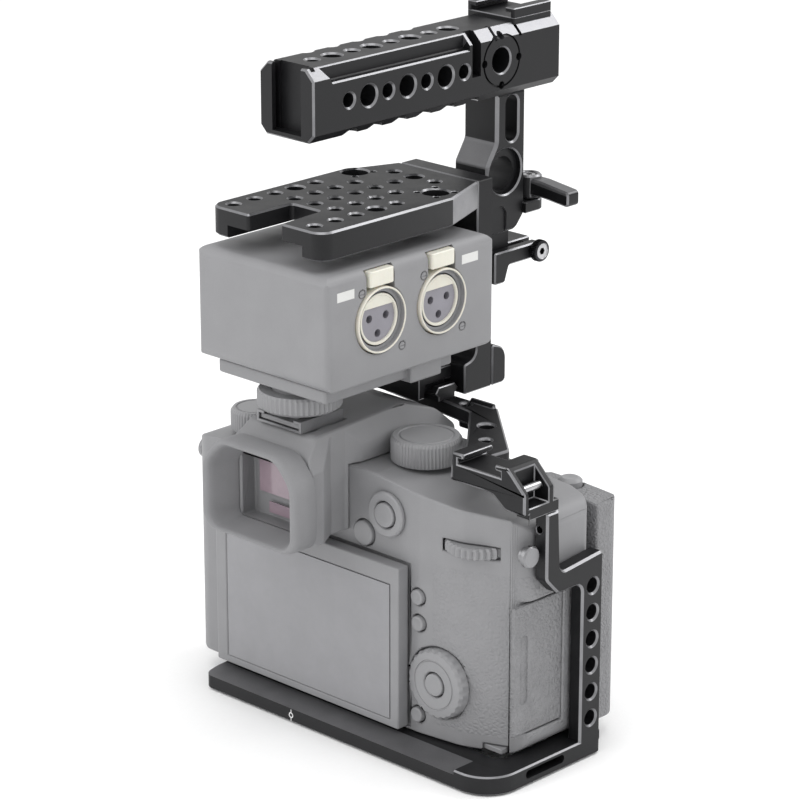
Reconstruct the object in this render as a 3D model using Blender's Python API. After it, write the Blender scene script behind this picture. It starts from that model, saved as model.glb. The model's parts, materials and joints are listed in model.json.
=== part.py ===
"""Cinema camera rig: a machined cage round a mirrorless camera, with an audio adapter on the hot shoe,
a top plate on a riser, and a top handle clamped to the riser's rail.

Lengths are written in millimetres and turned to metres when a mesh is made.
+X is the grip side, +Y is the way the lens mount faces, +Z is up.
x = 0 is the optical axis, z = 0 is the underside of the cage's base plate.
"""

import math

import bmesh
import bpy
from mathutils import Vector

MM = 0.001
GAP = 0.3                      # clearance between touching pieces
ROUND = 24                     # sides of a visible round piece
SMALL = 12                     # sides of a small hole or screw

# Cage
BASE_REAR = -50.0
BASE_TOP = 6.3
BASE_LEFT = -41.0
SIDE_OUT = 87.0                # outer face of the side bar
SIDE_THICK = 5.4
BAR_REAR = -7.6
BAR_FRONT = 2.5
ARM_REAR = -24.6
ARM_FRONT = -19.0
HOLE_PITCH = 9.0

# Camera body
CAM_LEFT = -57.5
CAM_RIGHT = 81.0
CAM_REAR = -38.0
CAM_FRONT = 6.0
CAM_BASE = BASE_TOP + GAP
DECK = 89.5
HUMP_TOP = 103.6
AXIS_Z = 52.0                  # height of the lens axis
FLANGE = 9.0                   # front face of the lens mount
EYECUP_REAR = -68.0
SHOE_Y = -44.5                 # centre of the hot shoe

# Screen
SCREEN_LEFT = -42.0
SCREEN_RIGHT = 41.5
SCREEN_LOW = 8.0
SCREEN_HIGH = 62.8
SCREEN_REAR = -43.0
SCREEN_THICK = 4.7

# Audio adapter
ADAPT_HALF = 29.0
ADAPT_REAR = -61.0
ADAPT_FRONT = 14.4
ADAPT_LOW = 121.0
ADAPT_HIGH = 158.0
JACK_Y = (-37.7, -10.3)
JACK_Z = 140.5
JACK_R = 11.0

# Riser, top plate and handle
PLATE_TOP = 171.2
PLATE_THICK = 9.3
PLATE_HALF = 25.0
PLATE_REAR = -59.0
NOTCH_FRONT = -40.3             # closed end of the notch in the plate's rear edge
LOCATING_ROW = 6                # row of the two locating holes, counted from the rear
RISER_HALF = 17.2
RISER_REAR = 19.0
RISER_FRONT = 26.3
RAIL_TOP = 101.0
GRIP_HALF = 11.8
GRIP_REAR = -49.0
GRIP_FRONT = 64.0
GRIP_LOW = 194.6
GRIP_TOP = 217.6
POST_HALF = 7.5
POST_REAR = 38.5
POST_FRONT = 52.5


# ---------------------------------------------------------------- scene and materials

def clear_scene():
    for obj in list(bpy.data.objects):
        bpy.data.objects.remove(obj, do_unlink=True)
    for mesh in list(bpy.data.meshes):
        bpy.data.meshes.remove(mesh)


def make_material(name, colour, metallic, roughness):
    """A Principled material; colour is linear red, green, blue."""
    material = bpy.data.materials.new(name)
    material.use_nodes = True
    shader = material.node_tree.nodes["Principled BSDF"]
    shader.inputs["Base Color"].default_value = (*colour, 1.0)
    shader.inputs["Metallic"].default_value = metallic
    shader.inputs["Roughness"].default_value = roughness
    material.diffuse_color = (*colour, 1.0)
    return material


def make_materials():
    return {
        "black_aluminium": make_material("black_aluminium", (0.035, 0.035, 0.038), 0.6, 0.42),
        "dark_steel": make_material("dark_steel", (0.06, 0.06, 0.065), 0.9, 0.35),
        "bright_steel": make_material("bright_steel", (0.72, 0.72, 0.72), 1.0, 0.25),
        "grey_shell": make_material("grey_shell", (0.33, 0.33, 0.34), 0.0, 0.5),
        "grey_control": make_material("grey_control", (0.30, 0.30, 0.31), 0.0, 0.42),
        "grey_grip": make_material("grey_grip", (0.29, 0.29, 0.30), 0.0, 0.7),
        "grey_rubber": make_material("grey_rubber", (0.31, 0.31, 0.32), 0.0, 0.8),
        "screen_glass": make_material("screen_glass", (0.31, 0.31, 0.32), 0.0, 0.15),
        "finder_glass": make_material("finder_glass", (0.40, 0.33, 0.35), 0.0, 0.1),
        "sensor_glass": make_material("sensor_glass", (0.10, 0.13, 0.14), 0.0, 0.08),
        "cream_plastic": make_material("cream_plastic", (0.72, 0.68, 0.60), 0.0, 0.45),
        "jack_plastic": make_material("jack_plastic", (0.26, 0.25, 0.29), 0.0, 0.5),
    }


def add_object(name, solid, material, pivot=(0.0, 0.0, 0.0)):
    """Turn a bmesh in millimetres into a named object whose origin is at the pivot."""
    bmesh.ops.translate(solid, verts=solid.verts, vec=-Vector(pivot))
    bmesh.ops.scale(solid, verts=solid.verts, vec=(MM, MM, MM))
    bmesh.ops.recalc_face_normals(solid, faces=solid.faces)
    mesh = bpy.data.meshes.new(name)
    solid.to_mesh(mesh)
    solid.free()
    mesh.shade_smooth()
    mesh.set_sharp_from_angle(angle=math.radians(32.0))
    mesh.materials.append(material)
    obj = bpy.data.objects.new(name, mesh)
    obj.location = Vector(pivot) * MM
    bpy.context.scene.collection.objects.link(obj)
    return obj


# ---------------------------------------------------------------- shape tools

def soften(outline, radii, steps=3):
    """Replace each corner of an outline by an arc; a radius of 0 keeps the corner, steps=1 chamfers it."""
    if not isinstance(radii, (list, tuple)):
        radii = [radii] * len(outline)
    result = []
    for i, corner in enumerate(outline):
        radius = radii[i]
        here = Vector(corner)
        before = (Vector(outline[i - 1]) - here).normalized()
        after = (Vector(outline[(i + 1) % len(outline)]) - here).normalized()
        if radius <= 0.0:
            result.append(tuple(here))
            continue
        half = before.angle(after) / 2.0
        reach = radius / math.tan(half)
        centre = here + (before + after).normalized() * (radius / math.sin(half))
        first = here + before * reach - centre
        last = here + after * reach - centre
        turn = first.angle_signed(last)
        for k in range(steps + 1):
            a = -turn * k / steps
            spun = Vector((first.x * math.cos(a) - first.y * math.sin(a),
                           first.x * math.sin(a) + first.y * math.cos(a)))
            result.append(tuple(centre + spun))
    return result


def rectangle(a0, a1, b0, b1):
    return [(a0, b0), (a1, b0), (a1, b1), (a0, b1)]


def place(axis, a, b, c):
    """A point from its two outline coordinates and its place along the axis."""
    if axis == "x":
        return (c, a, b)
    if axis == "y":
        return (a, c, b)
    return (a, b, c)


def skin(rings):
    """Join equal rings of points into one closed solid, with a flat cap on each end."""
    solid = bmesh.new()
    rows = [[solid.verts.new(point) for point in ring] for ring in rings]
    count = len(rings[0])
    for low, high in zip(rows, rows[1:]):
        for i in range(count):
            j = (i + 1) % count
            solid.faces.new((low[i], low[j], high[j], high[i]))
    solid.faces.new(rows[0])
    solid.faces.new(rows[-1])
    bmesh.ops.recalc_face_normals(solid, faces=solid.faces)
    return solid


def prism(axis, outline, low, high):
    """An outline carried straight along an axis."""
    return skin([[place(axis, a, b, c) for a, b in outline] for c in (low, high)])


def block(x0, x1, y0, y1, z0, z1, edge=0.0, steps=1):
    """A box; edge is the width of the chamfer or round on all its edges."""
    solid = prism("z", rectangle(x0, x1, y0, y1), z0, z1)
    if edge > 0.0:
        bmesh.ops.bevel(solid, geom=list(solid.edges), offset=edge, segments=steps,
                        profile=0.5, affect="EDGES", clamp_overlap=True)
    return solid


def turned(axis, centre, profile, sides=ROUND):
    """A profile of (radius, height) spun about an axis through centre; ends at radius 0 become points."""
    solid = bmesh.new()
    rows = []
    for radius, height in profile:
        if radius <= 0.0:
            rows.append([solid.verts.new(place(axis, centre[0], centre[1], height))])
            continue
        ring = []
        for i in range(sides):
            angle = 2.0 * math.pi * i / sides
            ring.append(solid.verts.new(place(axis, centre[0] + radius * math.cos(angle),
                                              centre[1] + radius * math.sin(angle), height)))
        rows.append(ring)
    for low, high in zip(rows, rows[1:]):
        for i in range(sides):
            j = (i + 1) % sides
            if len(low) == 1:
                solid.faces.new((low[0], high[j], high[i]))
            elif len(high) == 1:
                solid.faces.new((low[i], low[j], high[0]))
            else:
                solid.faces.new((low[i], low[j], high[j], high[i]))
    if len(rows[0]) > 1:
        solid.faces.new(rows[0])
    if len(rows[-1]) > 1:
        solid.faces.new(rows[-1])
    bmesh.ops.recalc_face_normals(solid, faces=solid.faces)
    return solid


def rod(axis, centre, radius, low, high, sides=SMALL):
    return turned(axis, centre, [(radius, low), (radius, high)], sides)


def knob(axis, centre, radius, low, high, edge, sides=ROUND):
    """A disc with a chamfer on both rims."""
    step = edge if high > low else -edge
    return turned(axis, centre, [(radius - edge, low), (radius, low + step),
                                 (radius, high - step), (radius - edge, high)], sides)


def ring(axis, centre, outer, inner, low, high, sides=ROUND):
    """A tube wall, made as one closed loop of four rings."""
    solid = bmesh.new()
    corners = [(outer, low), (outer, high), (inner, high), (inner, low)]
    rows = []
    for radius, height in corners:
        row = []
        for i in range(sides):
            angle = 2.0 * math.pi * i / sides
            row.append(solid.verts.new(place(axis, centre[0] + radius * math.cos(angle),
                                             centre[1] + radius * math.sin(angle), height)))
        rows.append(row)
    for k in range(4):
        low_row, high_row = rows[k], rows[(k + 1) % 4]
        for i in range(sides):
            j = (i + 1) % sides
            solid.faces.new((low_row[i], low_row[j], high_row[j], high_row[i]))
    bmesh.ops.recalc_face_normals(solid, faces=solid.faces)
    return solid


def temporary(solid, name):
    mesh = bpy.data.meshes.new(name)
    solid.to_mesh(mesh)
    solid.free()
    obj = bpy.data.objects.new(name, mesh)
    bpy.context.scene.collection.objects.link(obj)
    return obj


def combine(operation, solid, tools):
    """Apply an exact Boolean with each tool in turn and return the new solid."""
    body = temporary(solid, "work_body")
    helpers = []
    for tool in tools:
        helper = temporary(tool, "work_tool")
        helper.hide_render = True
        helper.display_type = "WIRE"
        helpers.append(helper)
        modifier = body.modifiers.new("shape", "BOOLEAN")
        modifier.operation = operation
        modifier.solver = "EXACT"
        modifier.object = helper
    evaluated = body.evaluated_get(bpy.context.evaluated_depsgraph_get())
    mesh = evaluated.to_mesh()
    result = bmesh.new()
    result.from_mesh(mesh)
    evaluated.to_mesh_clear()
    for obj in [body, *helpers]:
        mesh = obj.data
        bpy.data.objects.remove(obj, do_unlink=True)
        bpy.data.meshes.remove(mesh)
    bmesh.ops.remove_doubles(result, verts=result.verts, dist=0.002)
    bmesh.ops.dissolve_limit(result, angle_limit=math.radians(0.5), verts=result.verts, edges=result.edges)
    return result


def cut(solid, *tools):
    return combine("DIFFERENCE", solid, tools)


def join(solid, *tools):
    return combine("UNION", solid, tools)


def common(solid, *tools):
    return combine("INTERSECT", solid, tools)


# ---------------------------------------------------------------- cage

def cage_frame():
    """Base plate and side bar, milled in one: an L with a hooked arm that reaches up past the strap lug."""
    plate_outline = soften(
        [(BASE_LEFT, BASE_REAR), (SIDE_OUT, BASE_REAR), (SIDE_OUT, BAR_FRONT), (60.0, BAR_FRONT),
         (46.0, 8.0), (-32.0, 8.0), (BASE_LEFT, -1.0)],
        [3.0, 12.0, 1.5, 4.0, 4.0, 5.0, 3.0], 4)
    plate = prism("z", plate_outline, 0.0, BASE_TOP)
    arm_outline = soften(
        [(BAR_FRONT, BASE_TOP - 2.0), (BAR_FRONT, 69.0), (-18.0, 67.0), (ARM_FRONT, 87.9),
         (ARM_REAR, 87.9), (ARM_REAR, 66.0), (-19.0, 60.3), (BAR_REAR, 60.3), (BAR_REAR, BASE_TOP - 2.0)],
        [0.0, 1.6, 2.5, 0.0, 0.0, 3.0, 2.0, 3.0, 0.0], 3)
    arm = prism("x", arm_outline, SIDE_OUT - SIDE_THICK, SIDE_OUT)
    frame = join(plate, arm)
    cutters = [
        prism("z", soften(rectangle(50.0, 77.0, -34.0, -3.0), 3.0, 2), -1.0, BASE_TOP + 1.0),
        prism("z", soften(rectangle(-30.0, -12.0, -36.0, -6.0), 3.0, 2), -1.0, BASE_TOP + 1.0),
        prism("x", soften(rectangle(-33.0, -15.0, 2.4, 5.2), 1.3, 2), 80.0, SIDE_OUT + 1.0),
        prism("z", soften(rectangle(79.6, 82.4, -33.0, -15.0), 1.2, 2), -1.0, 4.0),
        rod("z", (0.0, -18.0), 3.3, -1.0, BASE_TOP + 1.0),
        rod("z", (0.0, -30.0), 2.6, -1.0, BASE_TOP + 1.0),
        rod("z", (14.0, -30.0), 2.6, -1.0, BASE_TOP + 1.0),
        rod("z", (32.0, -30.0), 2.6, -1.0, BASE_TOP + 1.0),
        rod("z", (32.0, -18.0), 2.6, -1.0, BASE_TOP + 1.0),
    ]
    for k in range(6):
        cutters.append(rod("x", (-2.6, 13.3 + HOLE_PITCH * k), 2.5, SIDE_OUT - 8.0, SIDE_OUT + 1.0))
    cutters.append(rod("y", (83.5, 82.0), 1.3, ARM_REAR - 1.0, ARM_REAR + 3.0, 8))
    return cut(frame, *cutters)


def cage_top():
    """Strap loop, cold shoe and link plate that cross the top of the camera to the rail."""
    rear = -35.3
    front = -21.6
    profile = [(56.9, 94.2), (73.6, 94.2), (79.0, 90.0), (SIDE_OUT, 90.0), (SIDE_OUT, 96.8), (79.8, 103.8),
               (77.0, 103.8), (77.0, 100.2), (59.3, 100.2), (59.3, 103.6), (56.9, 103.6)]
    shoe = prism("y", profile, rear, front)
    left_lip = block(58.0, 61.7, rear, front, 101.9, 103.6)
    right_lip = block(74.6, 78.5, rear, front, 101.9, 103.6)
    neck = prism("y", [(81.6, 88.2), (SIDE_OUT, 88.2), (SIDE_OUT, 92.0), (81.6, 92.0)], -33.0, ARM_FRONT - 0.4)
    link = prism("z", soften(
        [(56.9, rear), (60.0, -28.0), (61.7, -14.0), (32.5, 12.8), (-17.0, 12.8), (-17.0, 11.0), (27.0, 5.0),
         (44.5, -15.0), (55.0, -28.0)],
        [0.0, 1.0, 3.0, 0.0, 0.0, 1.0, 3.0, 3.0, 1.0], 2), 94.6, 99.8)
    ramp = prism("x", [(12.8, 92.4), (12.8, RAIL_TOP), (12.2, RAIL_TOP), (6.2, 95.0), (6.4, 92.4)], 21.0, 31.6)
    top = join(shoe, left_lip, right_lip, neck, link, ramp)
    cutters = [
        block(81.0, SIDE_OUT + 2.0, -33.2, -24.2, 92.0, 108.0),
        rod("z", (50.0, -12.0), 1.7, 90.0, 104.0, 8),
        rod("z", (41.0, -2.0), 2.6, 90.0, 104.0),
        rod("z", (22.0, 9.0), 1.7, 90.0, 104.0, 8),
    ]
    return cut(top, *cutters)


def cage_rail():
    """Short rail with cross slots, screwed to the front of the top plate."""
    outline = [(3.6, 100.1), (11.2, 100.1), (11.2, 101.6), (12.6, 103.0), (11.2, 104.9), (3.6, 104.9),
               (2.2, 103.0), (3.6, 101.6)]
    rail = prism("x", outline, -17.0, 15.0)
    slots = [block(-14.4 + 6.0 * k, -11.6 + 6.0 * k, 0.0, 16.0, 102.6, 108.0) for k in range(5)]
    return cut(rail, *slots)


# ---------------------------------------------------------------- camera

def camera_shell():
    """Main moulded shell: plan outline and front outline meet, then openings are cut."""
    plan = soften([(CAM_LEFT, CAM_REAR), (46.0, CAM_REAR), (62.0, CAM_REAR + 2.0), (CAM_RIGHT, -28.0),
                   (CAM_RIGHT, 2.0), (70.0, CAM_FRONT), (CAM_LEFT, CAM_FRONT)],
                  [7.0, 10.0, 10.0, 8.0, 4.0, 4.0, 9.0], 4)
    front = soften([(CAM_LEFT, CAM_BASE), (CAM_RIGHT, CAM_BASE), (CAM_RIGHT, 84.3), (58.0, 86.0),
                    (26.0, DECK), (-26.0, DECK), (-29.0, 85.0), (CAM_LEFT, 83.0)],
                   [5.0, 5.0, 5.0, 20.0, 10.0, 2.0, 2.0, 7.0], 3)
    shell = common(prism("z", plan, CAM_BASE, 95.0), prism("y", front, -60.0, 30.0))
    mount = rod("y", (0.0, AXIS_Z), 33.5, 2.0, FLANGE - 0.8, 36)
    shell = join(shell, mount)
    return cut(
        shell,
        block(SCREEN_LEFT - 2.6, SCREEN_RIGHT + GAP, CAM_REAR - 5.0, CAM_REAR + 1.0, SCREEN_LOW - 0.4,
              SCREEN_HIGH + GAP),
        rod("y", (0.0, AXIS_Z), 21.0, -8.0, FLANGE + 1.0, 32),
        rod("y", (38.5, 40.0), 4.6, CAM_FRONT - 3.4, CAM_FRONT + 1.0, 16),
        rod("z", (29.5, -17.6), 3.2, 82.0, 99.0),
        rod("z", (-39.5, -26.0), 2.6, 78.0, 95.0),
        rod("z", (62.5, -28.5), 11.3, 70.9, 75.1, 24),
        rod("y", (53.6, 26.0), 12.0, CAM_REAR - 1.0, CAM_REAR + 2.6, 24),
        rod("y", (53.6, 26.0), 4.0, CAM_REAR - 1.0, CAM_REAR + 4.5),
        rod("y", (45.3, 53.1), 2.9, CAM_REAR - 1.0, CAM_REAR + 3.0),
        rod("y", (45.4, 13.1), 2.9, CAM_REAR - 1.0, CAM_REAR + 3.0),
        rod("y", (45.6, 44.3), 2.9, CAM_REAR - 1.0, CAM_REAR + 3.0),
        rod("y", (22.0, 68.5), 4.5, CAM_REAR - 1.0, CAM_REAR + 3.0),
        rod("y", (32.5, 77.6), 4.4, CAM_REAR - 1.0, CAM_REAR + 3.0),
        block(CAM_RIGHT - 2.2, CAM_RIGHT + 2.0, -32.5, -9.6, 13.4, 57.6),
        block(CAM_LEFT - 2.0, CAM_LEFT + 2.0, -29.5, -4.5, 10.4, 72.6),
        prism("z", soften(rectangle(50.0, 76.5, -33.0, -3.4), 2.0, 2), 0.0, 8.9),
    )


def camera_grip():
    """Leather-covered hand grip on the front."""
    outline = soften([(44.0, CAM_FRONT + GAP), (52.0, 14.0), (58.0, 22.0), (73.0, 22.0), (80.5, 15.0),
                      (80.5, CAM_FRONT + GAP)], [1.0, 3.0, 6.0, 7.0, 5.0, 1.0], 4)
    front = soften([(40.0, CAM_BASE + 0.4), (83.0, CAM_BASE + 0.4), (83.0, 80.5), (64.0, 82.8), (40.0, 82.8)],
                   [0.0, 0.0, 4.0, 6.0, 0.0], 3)
    side = soften([(0.0, CAM_BASE), (20.5, CAM_BASE), (22.0, 14.0), (22.0, 70.0), (16.5, 83.0), (0.0, 83.0)],
                  [0.0, 2.0, 6.0, 8.0, 3.0, 0.0], 3)
    grip = common(prism("z", outline, 4.0, 90.0), prism("y", front, 0.0, 30.0), prism("x", side, 40.0, 90.0))
    return cut(grip, block(58.0, 70.0, 10.4, 30.0, 70.4, 74.6), rod("z", (64.0, 12.0), 4.5, 80.6, 86.0, 20))


def finder_housing():
    """Hump over the mount that carries the viewfinder, its side facets and the shoe seat."""
    side = soften([(-58.0, 68.0), (-58.0, 96.0), (-54.0, 99.5), (-52.0, HUMP_TOP - 1.6), (-13.0, HUMP_TOP),
                   (1.0, 99.0), (FLANGE - 2.0, 93.0), (FLANGE - 2.0, DECK + GAP), (CAM_REAR - GAP, DECK + GAP),
                   (CAM_REAR - GAP, 68.0)],
                  [3.0, 3.0, 0.0, 3.0, 6.0, 6.0, 2.0, 0.0, 0.0, 0.0], 2)
    roof = soften([(-22.0, 60.0), (22.0, 60.0), (19.0, 92.0), (13.5, HUMP_TOP + 1.0),
                   (-13.5, HUMP_TOP + 1.0), (-19.0, 92.0)],
                  [0.0, 0.0, 2.0, 3.0, 3.0, 2.0], 2)
    right = [(19.0, -60.0), (19.0, -53.0), (15.0, -46.0), (15.0, -40.0), (17.2, -34.0), (17.2, -18.0),
             (20.0, -6.0), (20.0, 10.0)]
    plan = right + [(-x, y) for x, y in reversed(right)]
    hump = common(prism("x", side, -22.0, 22.0), prism("y", roof, -62.0, FLANGE), prism("z", plan, 60.0, 110.0))
    return cut(
        hump,
        block(-13.0, 13.0, -62.0, -52.0, 70.8, 94.0),
        block(-10.2, 10.2, SHOE_Y - 10.0, SHOE_Y + 10.4, HUMP_TOP - 1.6, HUMP_TOP + 4.0),
        rod("x", (-50.0, 84.0), 5.0, -22.0, -15.2, 16),
    )


def eyecup():
    """Soft oval cup with a deep window in it."""
    outline = soften([(-21.5, 67.5), (21.5, 67.5), (21.5, 90.0), (14.0, 99.0), (-14.0, 99.0), (-21.5, 90.0)],
                     [5.0, 5.0, 8.0, 8.0, 8.0, 8.0], 4)
    inner = soften([(-14.0, 70.8), (14.0, 70.8), (14.0, 90.0), (9.0, 95.0), (-9.0, 95.0), (-14.0, 90.0)],
                   [2.0, 2.0, 4.0, 4.0, 4.0, 4.0], 3)
    cup = prism("y", outline, EYECUP_REAR, -58.0 - GAP)
    return cut(cup, prism("y", inner, EYECUP_REAR - 2.0, -40.0))


def hot_shoe():
    """Folded steel rails on the hump."""
    y0, y1 = SHOE_Y - 9.5, SHOE_Y + 9.5
    base = HUMP_TOP - 1.2
    outline = [(-9.8, base), (9.8, base), (9.8, base + 3.8), (6.6, base + 3.8), (6.6, base + 2.9),
               (8.9, base + 2.9), (8.9, base + 0.8), (-8.9, base + 0.8), (-8.9, base + 2.9),
               (-6.6, base + 2.9), (-6.6, base + 3.8), (-9.8, base + 3.8)]
    return prism("y", outline, y0, y1)


def strap_lug(side):
    """Stud with an eye on the shoulder of the shell; side is -1 for left, 1 for right."""
    wall = CAM_RIGHT if side > 0 else CAM_LEFT
    y, z = -29.0, 74.5
    start = wall + side * 0.05
    low, high = sorted((start + side * GAP, start + side * 2.6))
    stud = rod("x", (y, z), 2.6, low, high)
    low, high = sorted((start + side * 2.0, start + side * 3.8))
    eye = rod("x", (y, z), 3.6, low, high, 16)
    return join(stud, eye)


# ---------------------------------------------------------------- audio adapter

def adapter_case():
    """Rounded box with round pockets for the two jacks, screwed shut from below."""
    side = soften(rectangle(ADAPT_REAR, ADAPT_FRONT, ADAPT_LOW, ADAPT_HIGH), [4.0, 5.0, 6.0, 4.0], 4)
    front = soften(rectangle(-ADAPT_HALF, ADAPT_HALF, ADAPT_LOW, ADAPT_HIGH), [1.2, 1.2, 4.0, 4.0], 3)
    case = common(prism("x", side, -40.0, 40.0), prism("y", front, -80.0, 30.0))
    cutters = []
    for y in JACK_Y:
        cutters.append(rod("x", (y, JACK_Z), JACK_R, ADAPT_HALF - 22.0, ADAPT_HALF + 1.0, 32))
        cutters.append(block(ADAPT_HALF - 6.0, ADAPT_HALF + 1.0, y - 6.2, y + 6.2, JACK_Z + 8.0, 157.2))
    for y in (-40.0, -12.0):
        cutters.append(rod("x", (y, 147.0), 5.4, -ADAPT_HALF - 1.0, -ADAPT_HALF + 5.0, 20))
    return cut(case, *cutters)


def adapter_foot():
    """Lower block, side tabs and the neck that goes down to the shoe."""
    slab = block(-24.0, 24.0, -57.0, 0.0, 116.0, ADAPT_LOW - GAP, 1.2)
    tab = block(-26.0, 26.0, -21.0, -7.0, 114.8, ADAPT_LOW - GAP, 0.8)
    neck = rod("z", (0.0, SHOE_Y), 9.0, 106.4, 117.0, 20)
    foot = block(-8.6, 8.6, SHOE_Y - 8.8, SHOE_Y + 8.8, HUMP_TOP - 0.1, HUMP_TOP + 1.5)
    stem = block(-6.0, 6.0, SHOE_Y - 8.8, SHOE_Y + 8.8, HUMP_TOP + 1.0, 106.9)
    return join(slab, tab, neck, foot, stem)


def jack_shell(y):
    """Round flanged metal shell of one connector."""
    x = ADAPT_HALF
    shell = turned("x", (y, JACK_Z), [(10.6, x - 20.0), (10.6, x + 0.3), (10.0, x + 0.9), (9.2, x + 0.9),
                                      (9.0, x - 1.2), (0.0, x - 1.2)], 32)
    shell = cut(shell, rod("x", (y, JACK_Z), 8.7, x - 14.0, x + 2.0, 32))
    return shell


def jack_insert(y):
    """Moulded core with three contact holes in a triangle."""
    x = ADAPT_HALF
    core = rod("x", (y, JACK_Z), 8.3, x - 13.6, x - 1.0, 32)
    holes = []
    for angle in (90.0, 210.0, 330.0):
        a = math.radians(angle + 180.0)
        centre = (y + 4.0 * math.cos(a), JACK_Z + 4.0 * math.sin(a) - 0.3)
        holes.append(rod("x", centre, 1.5, x - 8.0, x + 1.0, 10))
    return cut(core, *holes)


# ---------------------------------------------------------------- riser and top plate

def plate_holes():
    """Centre and radius of each hole: a square grid of five columns and nine rows, clear of the notch."""
    pitch = 8.95
    holes = []
    for column in range(5):
        for row in range(9):
            outer = column in (0, 4)
            middle = column == 2
            if outer and row < 5:
                radius = 2.9 if row == 3 else 2.1
            elif outer and row == LOCATING_ROW:
                radius = 4.6
            elif not outer and row in (2, 3, 4, 5, 7) or middle and row == 6:
                radius = 2.9 if middle and row == 7 else 2.1
            else:
                continue
            holes.append((-19.5 + pitch * column, -53.4 + pitch * row, radius))
    return holes


def top_plate():
    """Cheese plate: drilled all over, notched at the rear, with tapered front corners."""
    outline = soften(
        [(-PLATE_HALF, PLATE_REAR), (-7.0, PLATE_REAR), (-7.0, NOTCH_FRONT), (5.6, NOTCH_FRONT), (7.2, PLATE_REAR),
         (PLATE_HALF, PLATE_REAR), (PLATE_HALF, -1.0), (17.4, RISER_REAR - GAP), (-17.4, RISER_REAR - GAP),
         (-PLATE_HALF, -1.0)],
        [5.0, 0.8, 1.5, 1.5, 0.8, 5.0, 0.0, 0.0, 0.0, 0.0], 3)
    low = PLATE_TOP - PLATE_THICK
    plate = prism("z", outline, low, PLATE_TOP)
    relief = prism("z", soften(rectangle(-16.5, 16.5, PLATE_REAR - 8.0, 10.0), 3.0, 2), low - 1.0, low + 4.1)
    cutters = [relief]
    for x, y, radius in plate_holes():
        cutters.append(rod("z", (x, y), radius, low - 2.0, PLATE_TOP + 1.0, 10 if radius < 4.0 else 16))
    return cut(plate, *cutters)


def rail_head(grow):
    """Plan outline of the riser's vertical rail: a neck and a dovetail head; grow widens it for the groove."""
    half = 5.2 + grow
    return [(-3.4 - grow, RISER_FRONT - 1.0), (3.4 + grow, RISER_FRONT - 1.0), (3.4 + grow, 35.2 - grow),
            (half, 36.6 - grow), (half, 37.6 + grow), (3.8 + grow, 38.6 + grow), (-3.8 - grow, 38.6 + grow),
            (-half, 37.6 + grow), (-half, 36.6 - grow), (-3.4 - grow, 35.2 - grow)]


def riser():
    """Upright plate in front of the adapter: a saddle on the cage's rail below, the handle's rail in front."""
    wall = block(-RISER_HALF, RISER_HALF, RISER_REAR, RISER_FRONT, 104.0, PLATE_TOP, 0.6)
    side = soften([(13.4, 100.6), (RISER_FRONT, 100.6), (RISER_FRONT, 118.0), (RISER_REAR, 118.0),
                   (RISER_REAR, 112.0), (13.4, 110.6)], [0.6, 0.0, 0.0, 0.0, 2.0, 0.6], 2)
    foot = prism("x", side, -RISER_HALF, RISER_HALF)
    saddle = prism("x", [(-1.6, 100.9), (1.0, 100.9), (1.0, 102.0), (1.8, 105.3), (13.0, 105.3), (15.0, 105.3),
                         (15.0, 109.6), (0.0, 109.6), (-1.6, 108.0)], -11.0, 11.0)
    rail = prism("z", rail_head(0.0), 137.4, 158.0)
    cutters = [prism("y", soften(rectangle(-10.0, 10.0, 120.0, 133.0), 3.0, 2), 10.0, 40.0)]
    for x in (-11.0, 11.0):
        cutters.append(rod("y", (x, 106.0), 1.4, RISER_FRONT - 6.0, RISER_FRONT + 1.0, 8))
    cutters.append(rod("y", (0.0, 166.6), 3.5, RISER_FRONT - 3.0, RISER_FRONT + 1.0))
    return cut(join(wall, foot, saddle, rail), *cutters)


def clamp_block():
    """Loose block of the riser's clamp, drawn in by two screws."""
    side = soften([(RISER_FRONT + GAP, 100.6), (33.2, 100.6), (33.2, 112.0), (RISER_FRONT + GAP, 114.6)],
                  [0.6, 1.6, 3.0, 1.0], 3)
    solid = prism("x", side, -RISER_HALF, RISER_HALF)
    holes = []
    for x in (-11.0, 11.0):
        holes.append(rod("y", (x, 106.0), 3.0, 30.4, 40.0))
        holes.append(rod("y", (x, 106.0), 1.4, 20.0, 40.0, 8))
    return cut(solid, *holes)


def socket_screw(x, z, seat, radius, shank, length):
    """Cap screw that points to -Y: its head stands on the seat and its shank goes back from it."""
    screw = turned("y", (x, z), [(shank, seat - length), (shank, seat), (radius, seat), (radius, seat + 2.2),
                                 (radius - 0.3, seat + 2.5)], SMALL)
    return cut(screw, rod("y", (x, z), radius * 0.5, seat + 1.1, seat + 4.0, 6))


# ---------------------------------------------------------------- handle

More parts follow.
